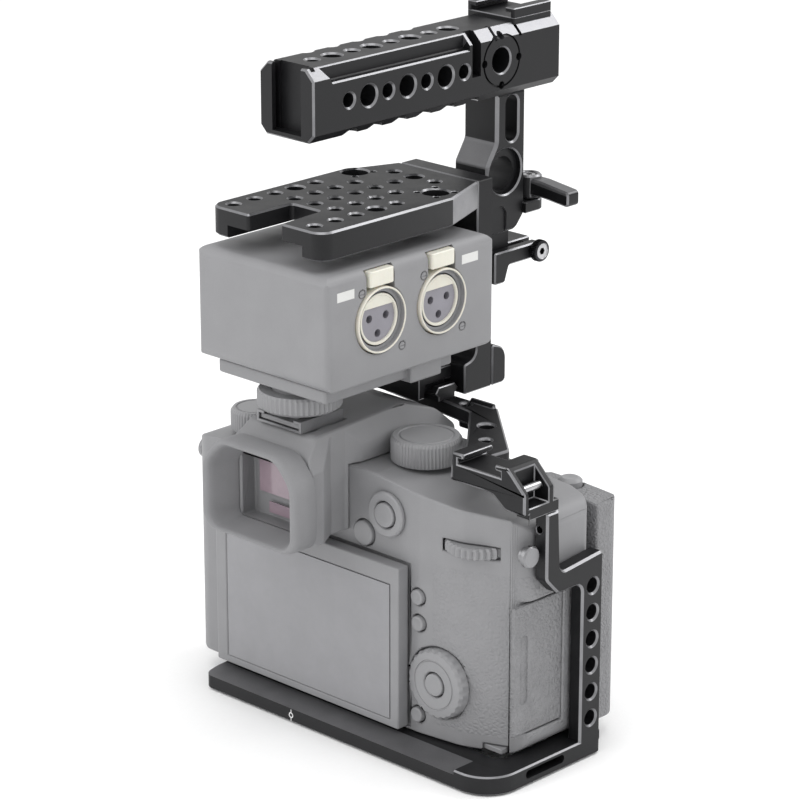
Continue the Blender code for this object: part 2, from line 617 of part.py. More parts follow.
def handle_post():
    """Upright of the handle: a slot and a round window lighten it, and its foot is grooved for the rail."""
    side = soften([(34.0, 147.4), (48.5, 147.4), (POST_FRONT, 152.0), (POST_FRONT, GRIP_LOW - GAP),
                   (POST_REAR, GRIP_LOW - GAP), (POST_REAR, 178.0), (34.0, 171.0)],
                  [0.0, 3.0, 3.0, 0.0, 0.0, 3.0, 2.0], 3)
    post = prism("x", side, -POST_HALF, POST_HALF)
    foot = block(-6.4, 6.4, 34.0, 46.0, 136.8, 148.4)
    tongue = block(-6.4, 4.4, 45.0, 58.6, 136.8, 142.4)
    ear = prism("z", soften([(0.8, 51.0), (9.2, 51.0), (9.2, 61.2), (0.8, 61.2)], [0.0, 0.0, 3.8, 3.8], 4),
                152.4, 156.2)
    return cut(
        join(post, foot, tongue, ear),
        prism("z", rail_head(0.3), 130.0, 158.4),
        rod("x", (42.9, 168.0), 7.7, POST_HALF - 2.2, POST_HALF + 1.0, 28),
        rod("x", (42.9, 168.0), 7.7, -POST_HALF - 1.0, -POST_HALF + 2.2, 28),
        rod("x", (42.9, 167.0), 5.8, -10.0, 10.0, 24),
        prism("x", soften(rectangle(43.0, 48.8, 177.6, 193.0), 2.8, 4), -10.0, 10.0),
        rod("x", (55.0, 139.6), 1.5, -4.0, 6.0, 10),
        rod("z", (5.0, 57.2), 1.3, 153.4, 158.0, 10),
    )


def handle_grip():
    """Long bar with rows of holes, a shoe slot in its rear end and a raised shoe at the front."""
    outline = soften(rectangle(-GRIP_HALF, GRIP_HALF, GRIP_LOW, GRIP_TOP), [2.4, 2.4, 3.2, 3.2], 1)
    bar = prism("y", outline, GRIP_REAR, GRIP_FRONT)
    cutters = [
        block(-6.3, 6.3, GRIP_REAR - 1.0, GRIP_REAR + 4.2, GRIP_LOW + 1.8, GRIP_TOP + 1.0),
        block(-9.3, 9.3, GRIP_REAR + 1.6, GRIP_REAR + 3.4, GRIP_LOW + 1.8, GRIP_TOP + 1.0),
    ]
    for k in range(7):
        y = -33.4 + 8.7 * k
        radius = 3.3 if k % 2 else 2.2
        cutters.append(rod("x", (y, 206.0), radius, -GRIP_HALF - 1.0, GRIP_HALF + 1.0, 14 if k % 2 else 10))
    cutters.append(rod("x", (35.8, 206.3), 3.3, GRIP_HALF - 9.0, GRIP_HALF + 1.0, 14))
    for k in range(8):
        y = -37.8 + 8.7 * k
        cutters.append(rod("z", (0.0, y), 2.2, 203.0 if k % 2 else 210.0, GRIP_TOP + 1.0, 10))
    cutters.append(block(GRIP_HALF - 1.4, GRIP_HALF + 1.0, -39.0, 21.0, 212.4, GRIP_TOP + 1.0))
    bar = cut(bar, *cutters)
    top = GRIP_TOP
    shoe_floor = block(-11.0, 9.4, 44.0, 62.0, top - 1.0, top + 1.4)
    shoe_lips = [block(x0, x1, 44.0, 62.0, top + 1.0, top + 3.4) for x0, x1 in ((-11.0, -9.3), (7.7, 9.4))]
    shoe_tops = [block(x0, x1, 44.0, 62.0, top + 2.9, top + 4.4) for x0, x1 in ((-11.0, -7.0), (5.4, 9.4))]
    return join(bar, shoe_floor, *shoe_lips, *shoe_tops)


def foot_jaw():
    """Clamp bar beside the foot, with a hook under the rail's lower end."""
    outline = soften([(35.0, 131.4), (40.0, 131.4), (42.0, 137.0), (58.4, 137.0), (58.4, 142.2), (35.0, 142.2)],
                     [1.0, 1.0, 1.0, 2.4, 2.4, 0.6], 3)
    return cut(prism("x", outline, 6.8, 10.4), rod("x", (55.0, 139.6), 1.5, 0.0, 20.0, 10))


def jaw_screw():
    """Hexagon-socket screw with a knurled rim."""
    screw = turned("x", (55.0, 139.6), [(1.2, -3.4), (1.2, 10.7), (3.7, 10.7), (3.7, 13.0), (3.3, 13.4),
                                        (2.6, 13.4), (2.4, 13.1)], 20)
    return cut(screw, rod("x", (55.0, 139.6), 1.1, 11.6, 15.0, 6))


def clamp_lever():
    """Cranked cam lever on the front of the foot."""
    hub = knob("z", (5.0, 57.2), 4.2, 156.5, 164.4, 0.6, 20)
    arm_outline = soften([(4.0, 157.4), (4.0, 163.4), (12.0, 163.2), (24.5, 161.6), (24.5, 156.4), (12.0, 157.8)],
                         [0.5, 0.5, 3.0, 1.2, 1.2, 3.0], 2)
    arm = prism("y", arm_outline, 54.4, 60.2)
    return cut(join(hub, arm), rod("z", (5.0, 57.2), 1.5, 150.0, 170.0, 10),
               rod("z", (5.0, 57.2), 2.6, 162.0, 170.0))


# ---------------------------------------------------------------- assembly

def build_cage(mats):
    black = mats["black_aluminium"]
    add_object("cage_frame", cage_frame(), black)
    add_object("cage_top", cage_top(), black)
    add_object("cage_rail", cage_rail(), black)
    add_object("strap_pin", rod("y", (83.4, 97.0), 1.3, -33.0, -24.4), mats["bright_steel"])
    screw = turned("z", (0.0, -18.0), [(3.0, 1.0), (3.0, BASE_TOP - 0.4), (2.6, BASE_TOP - 0.1)], 12)
    add_object("tripod_screw", cut(screw, block(-0.5, 0.5, -21.5, -14.5, 0.0, 2.2)), mats["dark_steel"])


def build_camera_shells(mats):
    shell = mats["grey_shell"]
    add_object("camera_shell", camera_shell(), shell)
    add_object("camera_grip", camera_grip(), mats["grey_grip"])
    add_object("finder_housing", finder_housing(), shell)
    add_object("eyecup", eyecup(), mats["grey_rubber"])
    add_object("finder_window", block(-9.5, 9.5, -53.6, -52.3, 79.0, 93.0, 0.4), mats["finder_glass"])
    add_object("hot_shoe", hot_shoe(), mats["bright_steel"])
    add_object("lens_mount", ring("y", (0.0, AXIS_Z), 30.5, 22.0, FLANGE - 0.5, FLANGE + 1.0, 36),
               mats["bright_steel"])
    add_object("image_sensor", block(-9.5, 9.5, -7.7, -6.2, AXIS_Z - 7.5, AXIS_Z + 7.5), mats["sensor_glass"])
    for side, name in ((-1, "strap_lug_left"), (1, "strap_lug_right")):
        add_object(name, strap_lug(side), mats["bright_steel"])


def build_camera_controls(mats):
    control = mats["grey_control"]
    rear = CAM_REAR
    hinge = (SCREEN_LEFT - 0.6, rear - 3.0)
    add_object("screen_panel",
               cut(block(SCREEN_LEFT, SCREEN_RIGHT, SCREEN_REAR, SCREEN_REAR + SCREEN_THICK, SCREEN_LOW,
                         SCREEN_HIGH, 1.0),
                   block(-37.0, 37.8, SCREEN_REAR - 1.0, SCREEN_REAR + 0.7, 10.4, 56.6)),
               control, (hinge[0], hinge[1], 36.0))
    add_object("screen_glass", block(-36.7, 37.5, SCREEN_REAR + 0.1, SCREEN_REAR + 0.5, 10.7, 56.3),
               mats["screen_glass"], (hinge[0], hinge[1], 36.0))
    dial = turned("z", (29.5, -17.6), [(2.9, 83.0), (2.9, 89.9), (11.4, 89.9), (11.4, 97.2), (10.6, 98.0)])
    add_object("mode_dial", dial, control, (29.5, -17.6, 92.0))
    dial = turned("z", (-39.5, -26.0), [(2.3, 79.0), (2.3, 85.4), (8.5, 85.4), (8.5, 92.3), (7.8, 93.0)])
    add_object("drive_dial", dial, control, (-39.5, -26.0, 88.0))
    add_object("thumb_wheel", knob("z", (62.5, -28.5), 10.9, 71.2, 74.8, 0.4), control, (62.5, -28.5, 73.0))
    add_object("front_dial", knob("z", (64.0, 16.4), 5.6, 70.8, 74.2, 0.4, 20), control, (64.0, 16.4, 72.5))
    wheel = ring("y", (53.6, 26.0), 11.6, 4.2, rear - 1.6, rear + 2.2)
    add_object("rear_dial", wheel, control, (53.6, rear, 26.0))
    add_object("set_button", knob("y", (53.6, 26.0), 3.7, rear - 1.8, rear + 3.0, 0.4, 16), control,
               (53.6, rear, 26.0))
    for name, x, z, radius in (("menu_button", 45.3, 53.1, 2.5), ("display_button", 45.4, 13.1, 2.5),
                               ("play_button", 45.6, 44.3, 2.5), ("lock_button", 22.0, 68.5, 4.1),
                               ("focus_button", 32.5, 77.6, 4.0)):
        reach = rear - 1.0 if name != "focus_button" else rear - 2.4
        add_object(name, knob("y", (x, z), radius, reach, rear + 2.0, 0.3, 14), control, (x, rear, z))
    add_object("focus_lever", ring("y", (32.5, 77.6), 7.4, 4.5, rear - 1.8, rear - GAP, 24), control,
               (32.5, rear, 77.6))
    release = turned("z", (64.0, 12.0), [(4.1, 81.8), (4.1, 84.2), (3.2, 84.8), (0.0, 84.4)], 20)
    add_object("shutter_button", release, control, (64.0, 12.0, 83.0))
    add_object("lens_release", knob("y", (38.5, 40.0), 4.2, CAM_FRONT - 1.6, CAM_FRONT + 1.8, 0.4, 16), control,
               (38.5, CAM_FRONT, 40.0))
    add_object("diopter_wheel", knob("x", (-50.0, 84.0), 4.6, -17.9, -15.6, 0.3, 16), control,
               (-16.0, -50.0, 84.0))


def build_doors(mats):
    shell = mats["grey_shell"]
    add_object("card_door", block(CAM_RIGHT - 1.8, CAM_RIGHT - 0.2, -32.0, -10.0, 14.0, 57.0, 0.3), shell,
               (CAM_RIGHT - 0.2, -32.0, 35.5))
    for k, name in enumerate(("port_door_low", "port_door_middle", "port_door_high")):
        low = 11.0 + 20.6 * k
        add_object(name, block(CAM_LEFT + 0.2, CAM_LEFT + 1.6, -29.0, -5.0, low, low + 20.0, 0.3),
                   mats["grey_rubber"], (CAM_LEFT + 0.2, -5.0, low + 10.0))
    add_object("battery_door", block(50.6, 76.0, -32.4, -4.0, 6.9, 8.6, 0.2), shell, (50.6, -18.0, 6.9))


def build_adapter(mats):
    shell = mats["grey_shell"]
    add_object("adapter_case", adapter_case(), shell)
    add_object("adapter_foot", adapter_foot(), shell)
    add_object("lock_ring", ring("z", (0.0, SHOE_Y), 13.6, 9.3, 107.6, 113.6), mats["grey_control"],
               (0.0, SHOE_Y, 110.6))
    face = ADAPT_HALF
    for where, y in zip(("rear", "front"), JACK_Y):
        add_object("jack_shell_" + where, jack_shell(y), mats["cream_plastic"])
        add_object("jack_insert_" + where, jack_insert(y), mats["jack_plastic"])
        tab = block(face - 4.4, face + 1.2, y - 5.8, y + 5.8, 151.7, 156.8, 0.4)
        add_object("latch_tab_" + where, tab, mats["cream_plastic"], (face, y, 154.2))
    for name, y in (("level_dial_rear", -40.0), ("level_dial_front", -12.0)):
        dial = turned("x", (y, 147.0), [(5.0, 4.6 - face), (5.0, -1.6 - face), (4.5, -2.0 - face)])
        add_object(name, dial, mats["grey_control"], (-face, y, 147.0))


def build_top(mats):
    black = mats["black_aluminium"]
    add_object("top_plate", top_plate(), black)
    add_object("riser", riser(), black)
    add_object("clamp_block", clamp_block(), black)
    for name, x in (("clamp_screw_left", -11.0), ("clamp_screw_right", 11.0)):
        add_object(name, socket_screw(x, 106.0, 30.8, 2.7, 1.2, 9.0), mats["dark_steel"])
    add_object("plate_screw", socket_screw(0.0, 166.6, RISER_FRONT - 2.6, 3.2, 1.4, 0.2), mats["dark_steel"])
    add_object("handle_post", handle_post(), black)
    add_object("handle_grip", handle_grip(), black)
    add_object("foot_jaw", foot_jaw(), black)
    add_object("jaw_screw", jaw_screw(), mats["bright_steel"], (10.0, 55.0, 139.6))
    add_object("clamp_lever", clamp_lever(), black, (5.0, 57.2, 160.0))
    pin = turned("z", (5.0, 57.2), [(1.1, 153.7), (1.1, 162.3), (2.3, 162.3), (2.3, 164.0)], SMALL)
    add_object("lever_pin", cut(pin, rod("z", (5.0, 57.2), 1.1, 163.0, 166.0, 6)), mats["bright_steel"])


def main():
    clear_scene()
    mats = make_materials()
    build_cage(mats)
    build_camera_shells(mats)
    build_camera_controls(mats)
    build_doors(mats)
    build_adapter(mats)
    build_top(mats)


main()
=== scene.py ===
"""Looks of the cinema camera rig: a black anodised cage, top plate and handle round a pale grey camera and its
audio adapter. Lengths are in millimetres until a mesh is made; +X is the grip side, +Y is where the lens looks.
"""

import json
import math

import bmesh
import bpy
import numpy as np
from mathutils import Matrix, Vector
from mathutils.geometry import tessellate_polygon

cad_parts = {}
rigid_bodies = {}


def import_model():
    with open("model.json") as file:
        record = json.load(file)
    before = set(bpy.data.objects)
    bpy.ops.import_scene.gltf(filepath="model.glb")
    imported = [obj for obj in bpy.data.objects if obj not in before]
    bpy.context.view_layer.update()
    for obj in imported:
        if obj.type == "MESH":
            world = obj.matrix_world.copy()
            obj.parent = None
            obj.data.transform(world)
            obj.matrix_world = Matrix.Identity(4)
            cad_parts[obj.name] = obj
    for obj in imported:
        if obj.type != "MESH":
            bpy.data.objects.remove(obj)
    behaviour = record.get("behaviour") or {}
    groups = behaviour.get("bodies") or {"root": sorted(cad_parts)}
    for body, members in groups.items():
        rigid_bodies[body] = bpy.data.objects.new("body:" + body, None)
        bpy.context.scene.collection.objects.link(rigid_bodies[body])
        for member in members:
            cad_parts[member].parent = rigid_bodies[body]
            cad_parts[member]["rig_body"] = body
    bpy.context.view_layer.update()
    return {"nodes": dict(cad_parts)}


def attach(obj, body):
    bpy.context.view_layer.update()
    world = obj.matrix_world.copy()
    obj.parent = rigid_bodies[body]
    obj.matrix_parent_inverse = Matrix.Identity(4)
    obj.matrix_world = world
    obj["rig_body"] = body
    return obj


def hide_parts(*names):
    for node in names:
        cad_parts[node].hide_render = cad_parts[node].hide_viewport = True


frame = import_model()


# ------------------------------------------------------------ camera, floor and lights
# A studio table in pale card, seen with a long lens from above and to the right of the camera's back.
# The light is plain: a white room, a broad lamp on the left and one overhead, a weak one on the right, and a
# smaller one high behind, which the cut edges that face up and to the right throw back as glints.

MM = 0.001
AZIMUTH = math.radians(43.9)
ELEVATION = math.radians(18.9)
AIM = Vector((2.745, -1.870, 99.234)) * MM        # the point in the middle of the view
DISTANCE = 1080.0 * MM

towards_camera = Vector((math.sin(AZIMUTH) * math.cos(ELEVATION), -math.cos(AZIMUTH) * math.cos(ELEVATION),
                         math.sin(ELEVATION)))
camera = bpy.data.objects.new("studio_camera", bpy.data.cameras.new("studio_camera"))
camera.data.lens = 149.85
camera.data.sensor_width = 36.0
camera.data.clip_start = 0.05
camera.location = AIM + towards_camera * DISTANCE
camera.rotation_euler = (-towards_camera).to_track_quat("-Z", "Y").to_euler()
bpy.context.scene.collection.objects.link(camera)
bpy.context.scene.camera = camera
bpy.context.scene.view_settings.view_transform = "Standard"


def linear(code):
    """An sRGB hex colour as linear red, green, blue, alpha."""
    values = np.array([int(code[i:i + 2], 16) for i in (1, 3, 5)]) / 255.0
    values = np.where(values <= 0.04045, values / 12.92, ((values + 0.055) / 1.055) ** 2.4)
    return (*[float(v) for v in values], 1.0)


def add(tree, kind, inputs, **settings):
    """One more node: settings are its own properties, inputs are values or the sockets that feed it."""
    node = tree.nodes.new(kind)
    for name, value in settings.items():
        setattr(node, name, value)
    for name, value in inputs.items():
        if isinstance(value, bpy.types.NodeSocket):
            tree.links.new(value, node.inputs[name])
        else:
            node.inputs[name].default_value = value
    return node


def finish_material(name, dark, light, metallic, rough, grain, bump, patch=9.0, **shader_values):
    """A Principled material with two scales of detail, both noise in object space.

    The patches, in mm across, blend two close colours and move the roughness between two values.
    The grain, in mm, is a height of bump millimetres.
    """
    material = bpy.data.materials.new(name)
    material.use_nodes = True
    tree = material.node_tree
    shader = tree.nodes["Principled BSDF"]
    place = add(tree, "ShaderNodeTexCoord", {}).outputs["Object"]
    broad = add(tree, "ShaderNodeTexNoise", {"Vector": place, "Scale": 1000.0 / patch, "Detail": 3.0})
    fine = add(tree, "ShaderNodeTexNoise", {"Vector": place, "Scale": 1000.0 / grain, "Detail": 2.0})
    both = add(tree, "ShaderNodeMix", {0: 0.3, 2: broad.outputs["Fac"], 3: fine.outputs["Fac"]})
    tint = add(tree, "ShaderNodeValToRGB", {"Fac": both.outputs[0]})
    tint.color_ramp.elements[0].position = 0.35
    tint.color_ramp.elements[0].color = linear(dark)
    tint.color_ramp.elements[1].position = 0.65
    tint.color_ramp.elements[1].color = linear(light)
    gloss = add(tree, "ShaderNodeMapRange", {"Value": both.outputs[0], "From Min": 0.3, "From Max": 0.7,
                                             "To Min": rough[0], "To Max": rough[1]})
    relief = add(tree, "ShaderNodeBump", {"Height": fine.outputs["Fac"], "Strength": 1.0,
                                          "Distance": bump * MM})
    tree.links.new(tint.outputs["Color"], shader.inputs["Base Color"])
    tree.links.new(gloss.outputs["Result"], shader.inputs["Roughness"])
    tree.links.new(relief.outputs["Normal"], shader.inputs["Normal"])
    shader.inputs["Metallic"].default_value = metallic
    for socket, value in shader_values.items():
        shader.inputs[socket.replace("_", " ")].default_value = value
    return material


card = finish_material("floor_card", "#fbfbfb", "#ffffff", 0.0, (0.75, 0.85), 1.2, 0.01, 60.0)
# matt white card: no highlight, so the object has only a soft shadow on it
floor_size = 6.0
floor_mesh = bpy.data.meshes.new("floor")
floor_mesh.from_pydata([(x * floor_size, y * floor_size, -0.0004) for x,
                        y in ((-1, -1), (1, -1), (1, 1), (-1, 1))],
                       [], [(0, 1, 2, 3)])
floor_mesh.materials.append(card)
floor = bpy.data.objects.new("floor", floor_mesh)
bpy.context.scene.collection.objects.link(floor)

world = bpy.data.worlds.new("white_room")
world.use_nodes = True
world.node_tree.nodes["Background"].inputs["Color"].default_value = (1.0, 1.0, 1.0, 1.0)
world.node_tree.nodes["Background"].inputs["Strength"].default_value = 0.88
bpy.context.scene.world = world

for name, azimuth, elevation, distance, size, watts in (
        ("lamp_left", -25.0, 30.0, 1.3, 1.0, 5.0),
        ("lamp_overhead", 30.0, 80.0, 1.3, 0.9, 4.5),
        ("lamp_right", 100.0, 25.0, 1.5, 0.8, 1.6),
        ("lamp_behind", 155.0, 41.0, 1.5, 0.55, 5.5)):
    lamp = bpy.data.objects.new(name, bpy.data.lights.new(name, "AREA"))
    lamp.data.shape = "SQUARE"
    lamp.data.size = size
    lamp.data.energy = watts
    turn, rise = math.radians(azimuth), math.radians(elevation)
    out = Vector((math.sin(turn) * math.cos(rise), -math.cos(turn) * math.cos(rise), math.sin(rise)))
    lamp.location = AIM + out * distance
    lamp.rotation_euler = (-out).to_track_quat("-Z", "Y").to_euler()
    bpy.context.scene.collection.objects.link(lamp)


# ------------------------------------------------------------ cage frame
# Base plate and side bar of the cage: one piece of aluminium plate milled to shape, bead blasted and anodised
# black. Every chamfer is drawn in a lighter metal copy of the black finish, a painted highlight, so it shows as a
# bright line.

BLACK = finish_material("anodised_black", "#161618", "#1c1c1e", 0.25, (0.40, 0.50), 0.5, 0.010,
                        Specular_IOR_Level=0.38)
# the blasted skin is dark and slightly silky: it holds a broad soft sheen and no mirror image
PAINTED_CHAMFER_HIGHLIGHT = finish_material("chamfer_painted_highlight", "#7c7c7f", "#8a8a8c", 0.80, (0.30, 0.38), 0.6, 0.004)
# painted highlight on every chamfer: a lighter copy of the black finish, smooth enough to catch the lamps too
PAINTED_SLOPE_LIGHT = finish_material("slope_painted_light", "#5e5e60", "#68686a", 0.40, (0.34, 0.42), 0.5, 0.006)
# painted light on slopes that face the lamps: a mid-grey copy of the black finish, a sheen without glints
METAL = (BLACK, PAINTED_CHAMFER_HIGHLIGHT, PAINTED_SLOPE_LIGHT)


def arcs(corners, radii, steps=8):
    """An outline with each corner replaced by an arc of its radius; 0 keeps the corner.
    The arc's centre lies on the corner's bisector, at the radius over the sine of half the corner's angle."""
    if not isinstance(radii, (list, tuple)):
        radii = [radii] * len(corners)
    parts = []
    for i, radius in enumerate(radii):
        here = np.array(corners[i], float)
        if radius <= 0.0:
            parts.append(here[None])
            continue
        before = np.array(corners[i - 1]) - here
        after = np.array(corners[(i + 1) % len(corners)]) - here
        before, after = before / np.linalg.norm(before), after / np.linalg.norm(after)
        half = math.acos(np.clip(before @ after, -1.0, 1.0)) / 2.0
        bisector = (before + after) / np.linalg.norm(before + after)
        centre = here + bisector * radius / math.sin(half)
        start = here + before * radius / math.tan(half) - centre
        end = here + after * radius / math.tan(half) - centre
        sweep = math.atan2(start[0] * end[1] - start[1] * end[0], start @ end)
        t = np.linspace(0.0, sweep, steps + 1)
        parts.append(centre + np.stack([start[0] * np.cos(t) - start[1] * np.sin(t),
                                        start[0] * np.sin(t) + start[1] * np.cos(t)], 1))
    return np.concatenate(parts)


def box_outline(a0, a1, b0, b1, radius=0.0, steps=8):
    """A rectangle from its two spans, with each corner rounded by the radius."""
    return arcs([(a0, b0), (a1, b0), (a1, b1), (a0, b1)], radius, steps)


def circle(centre, radius, sides=32):
    """Points at equal steps round a circle."""
    t = np.linspace(0.0, 2.0 * np.pi, sides, endpoint=False)
    return np.stack([centre[0] + radius * np.cos(t), centre[1] + radius * np.sin(t)], 1)


def grown(outline, distance):
    """The outline moved outwards by a distance: each point goes along the mean of its two edge normals,
    stretched by 1 over the cosine of half the turn, so that the edges stay parallel."""
    edge = np.roll(outline, -1, 0) - outline
    edge = edge / np.maximum(np.linalg.norm(edge, axis=1, keepdims=True), 1e-9)
    normal = np.stack([edge[:, 1], -edge[:, 0]], 1)
    area = np.sum(outline[:, 0] * np.roll(outline[:, 1], -1) - outline[:, 1] * np.roll(outline[:, 0], -1))
    normal = normal * np.sign(area)
    mean = normal + np.roll(normal, 1, 0)
    return outline + distance * 2.0 * mean / np.maximum(np.sum(mean * mean, 1, keepdims=True), 0.5)


def oriented(axis, outline, height):
    """Outline points and a place along the axis as x, y, z."""
    height = np.broadcast_to(height, len(outline))
    a, b = outline[:, 0], outline[:, 1]
    columns = {"x": (height, a, b), "y": (a, height, b), "z": (a, b, height)}[axis]
    return np.stack(columns, 1)


def band(count, start, rows, loop=False):
    """Quads between rows of count points each, numbered from start; loop also joins the last row to the first."""
    i = np.arange(count)
    j = (i + 1) % count
    quads = []
    for k in range(rows if loop else rows - 1):
        low, high = start + k * count, start + ((k + 1) % rows) * count
        quads.append(np.stack([low + i, low + j, high + j, high + i], 1))
    return np.concatenate(quads)


def bar(axis, outline, low, high, edge=0.4, holes=(), lip=0.4, tones=(0, 1)):
    """A plate milled from an outline, with holes; edge and lip are the widths of the outer and hole chamfers.

    Each loop is carried through four levels, drawn in or opened at the two faces by its chamfer, and the two
    faces are filled between the loops. tones are the material numbers of the walls and of the chamfers.
    """
    points, faces, marks, top, bottom, first = [], [], [], [], [], 0
    for k, loop in enumerate([outline, *holes]):
        width = edge if k == 0 else -lip
        size = abs(width)
        levels = ((low, -width), (low + size, 0.0), (high - size, 0.0), (high, -width))
        for height, shift in levels:
            points.append(oriented(axis, grown(loop, shift) if shift else loop, height))
        quads = band(len(loop), first, 4)
        faces += quads.tolist()
        marks += [tones[1]] * len(loop) + [tones[0]] * len(loop) + [tones[1]] * len(loop)
        bottom.append(np.arange(len(loop)) + first)
        top.append(np.arange(len(loop)) + first + 3 * len(loop))
        first += 4 * len(loop)
    points = np.concatenate(points)
    for loops in (bottom, top):
        order = np.concatenate(loops)
        triangles = tessellate_polygon([[Vector(p) for p in points[loop]] for loop in loops])
        faces += [[int(order[i]) for i in triangle] for triangle in triangles]
        marks += [tones[0]] * len(triangles)
    return points, faces, marks


def lathe(axis, centre, profile, sides=48, tones=None, wave=None, loop=False):
    """A profile of (radius, height) turned about an axis; wave gives a factor on the radius for each side.
    With loop the profile is closed on itself, as a tube's wall is; otherwise flat discs close the two ends."""
    t = np.linspace(0.0, 2.0 * np.pi, sides, endpoint=False)
    rows = []
    for k, (radius, height) in enumerate(profile):
        factor = wave(k, t) if wave else 1.0
        flat = np.stack([centre[0] + radius * factor * np.cos(t), centre[1] + radius * factor * np.sin(t)], 1)
        rows.append(oriented(axis, flat, height))
    faces = band(sides, 0, len(profile), loop).tolist()
    tones = tones or [0] * len(profile)
    marks = np.repeat(tones[:len(faces) // sides], sides).tolist()
    if not loop:
        last = sides * (len(profile) - 1)
        faces += [list(range(sides)), list(range(last, last + sides))]
        marks += [tones[0], tones[-1]]
    return np.concatenate(rows), faces, marks


def drill(axis, centre, radius, low, high, lip=0.5, ends=(True, True), sides=28):
    """A cutter for a round hole between two faces, with a countersink of width lip at each end that is open."""
    over = 0.6
    profile, tones = [], []
    if ends[0]:
        profile += [(radius + lip + over, low - over), (radius, low + lip)]
        tones += [1, 0]
    else:
        profile += [(radius, low)]
        tones += [0]
    if ends[1]:
        profile += [(radius, high - lip), (radius + lip + over, high + over)]
        tones += [1, 1]
    else:
        profile += [(radius, high)]
        tones += [0]
    return lathe(axis, centre, profile, sides, tones)


def together(*shapes):
    """Several shapes as one list of points and faces."""
    points, faces, marks, first = [], [], [], 0
    for p, f, m in shapes:
        points.append(p)
        faces += [[i + first for i in face] for face in f]
        marks += list(m)
        first += len(p)
    return np.concatenate(points), faces, marks


def mesh_of(shape, name):
    """A mesh with its normals turned outwards and the shape's material numbers."""
    points, faces, marks = shape
    mesh = bpy.data.meshes.new(name)
    mesh.from_pydata(points.tolist(), [], faces)
    mesh.polygons.foreach_set("material_index", np.array(marks, np.int32))
    work = bmesh.new()
    work.from_mesh(mesh)
    bmesh.ops.recalc_face_normals(work, faces=work.faces)
    work.to_mesh(mesh)
    work.free()
    return mesh


def carve(shape, *tools, operation="DIFFERENCE"):
    """Exact Boolean of a shape with tools in turn; the new faces keep the tools' material numbers."""
    helpers = []
    for part in (shape, *tools):
        mesh = mesh_of(part, "work")
        for _ in range(4):
            mesh.materials.append(None)
        helper = bpy.data.objects.new("work", mesh)
        bpy.context.scene.collection.objects.link(helper)
        helpers.append(helper)
    for helper in helpers[1:]:
        modifier = helpers[0].modifiers.new("cut", "BOOLEAN")
        modifier.operation = operation
        modifier.object = helper
    evaluated = helpers[0].evaluated_get(bpy.context.evaluated_depsgraph_get())
    mesh = evaluated.to_mesh()
    points = np.zeros(len(mesh.vertices) * 3)
    mesh.vertices.foreach_get("co", points)
    faces = [list(polygon.vertices) for polygon in mesh.polygons]
    marks = [polygon.material_index for polygon in mesh.polygons]
    evaluated.to_mesh_clear()
    for helper in helpers:
        mesh = helper.data
        bpy.data.objects.remove(helper)
        bpy.data.meshes.remove(mesh)
    return points.reshape(-1, 3), faces, marks


def joined(shape, *others):
    """Several shapes welded into one closed body."""
    return carve(shape, *others, operation="UNION")


def piece(name, shape, materials, nodes, crease=30.0, bevel=0.0, segments=2, body=None):
    """Puts a shape in the scene as an object that rides on its nodes' body and stands for them.
    bevel, in mm, rounds every edge sharper than the crease angle, or chamfers it in the second material."""
    mesh = mesh_of(shape, name)
    mesh.transform(Matrix.Scale(MM, 4))
    for material in materials:
        mesh.materials.append(material)
    mesh.shade_smooth()
    mesh.set_sharp_from_angle(angle=math.radians(crease))
    obj = bpy.data.objects.new(name, mesh)
    bpy.context.scene.collection.objects.link(obj)
    if bevel:
        modifier = obj.modifiers.new("edges", "BEVEL")
        modifier.width = bevel * MM
        modifier.segments = segments
        modifier.limit_method = "ANGLE"
        modifier.angle_limit = math.radians(crease)
        modifier.use_clamp_overlap = False
        if segments == 1:
            modifier.material = 1
        obj.modifiers.new("even_faces", "WEIGHTED_NORMAL").keep_sharp = True
    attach(obj, body or frame["nodes"][nodes[0]]["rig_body"])
    if nodes:
        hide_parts(*nodes)
    return obj


def slab(x0, x1, y0, y1, z0, z1, edge=0.0, tones=(0, 1)):
    """A box whose upright and level edges are chamfered by edge."""
    if not edge:
        return bar("z", box_outline(x0, x1, y0, y1), z0, z1, 0.0, tones=tones)
    return bar("z", box_outline(x0, x1, y0, y1, edge, 1), z0, z1, edge, tones=tones)


base_top = 6.3
base_rear = -50.0
side_face = 87.0
hole_pitch = 9.0
base_outline = arcs([(-41.0, base_rear), (side_face, base_rear), (side_face, 2.5), (60.0, 2.5), (46.0, 8.0),
                     (-32.0, 8.0), (-41.0, -1.0)], [3.0, 12.0, 1.5, 4.0, 4.0, 5.0, 3.0], 12)
base_holes = [box_outline(50.0, 77.0, -34.0, -3.0, 3.0), box_outline(-30.0, -12.0, -36.0, -6.0, 3.0),
              circle((0.0, -18.0), 3.3), *[circle(c, 2.6, 24) for c in
                                           ((0.0, -30.0), (14.0, -30.0), (32.0, -30.0), (32.0, -18.0))]]
base = bar("z", base_outline, 0.0, base_top, 0.5, base_holes, 0.5)
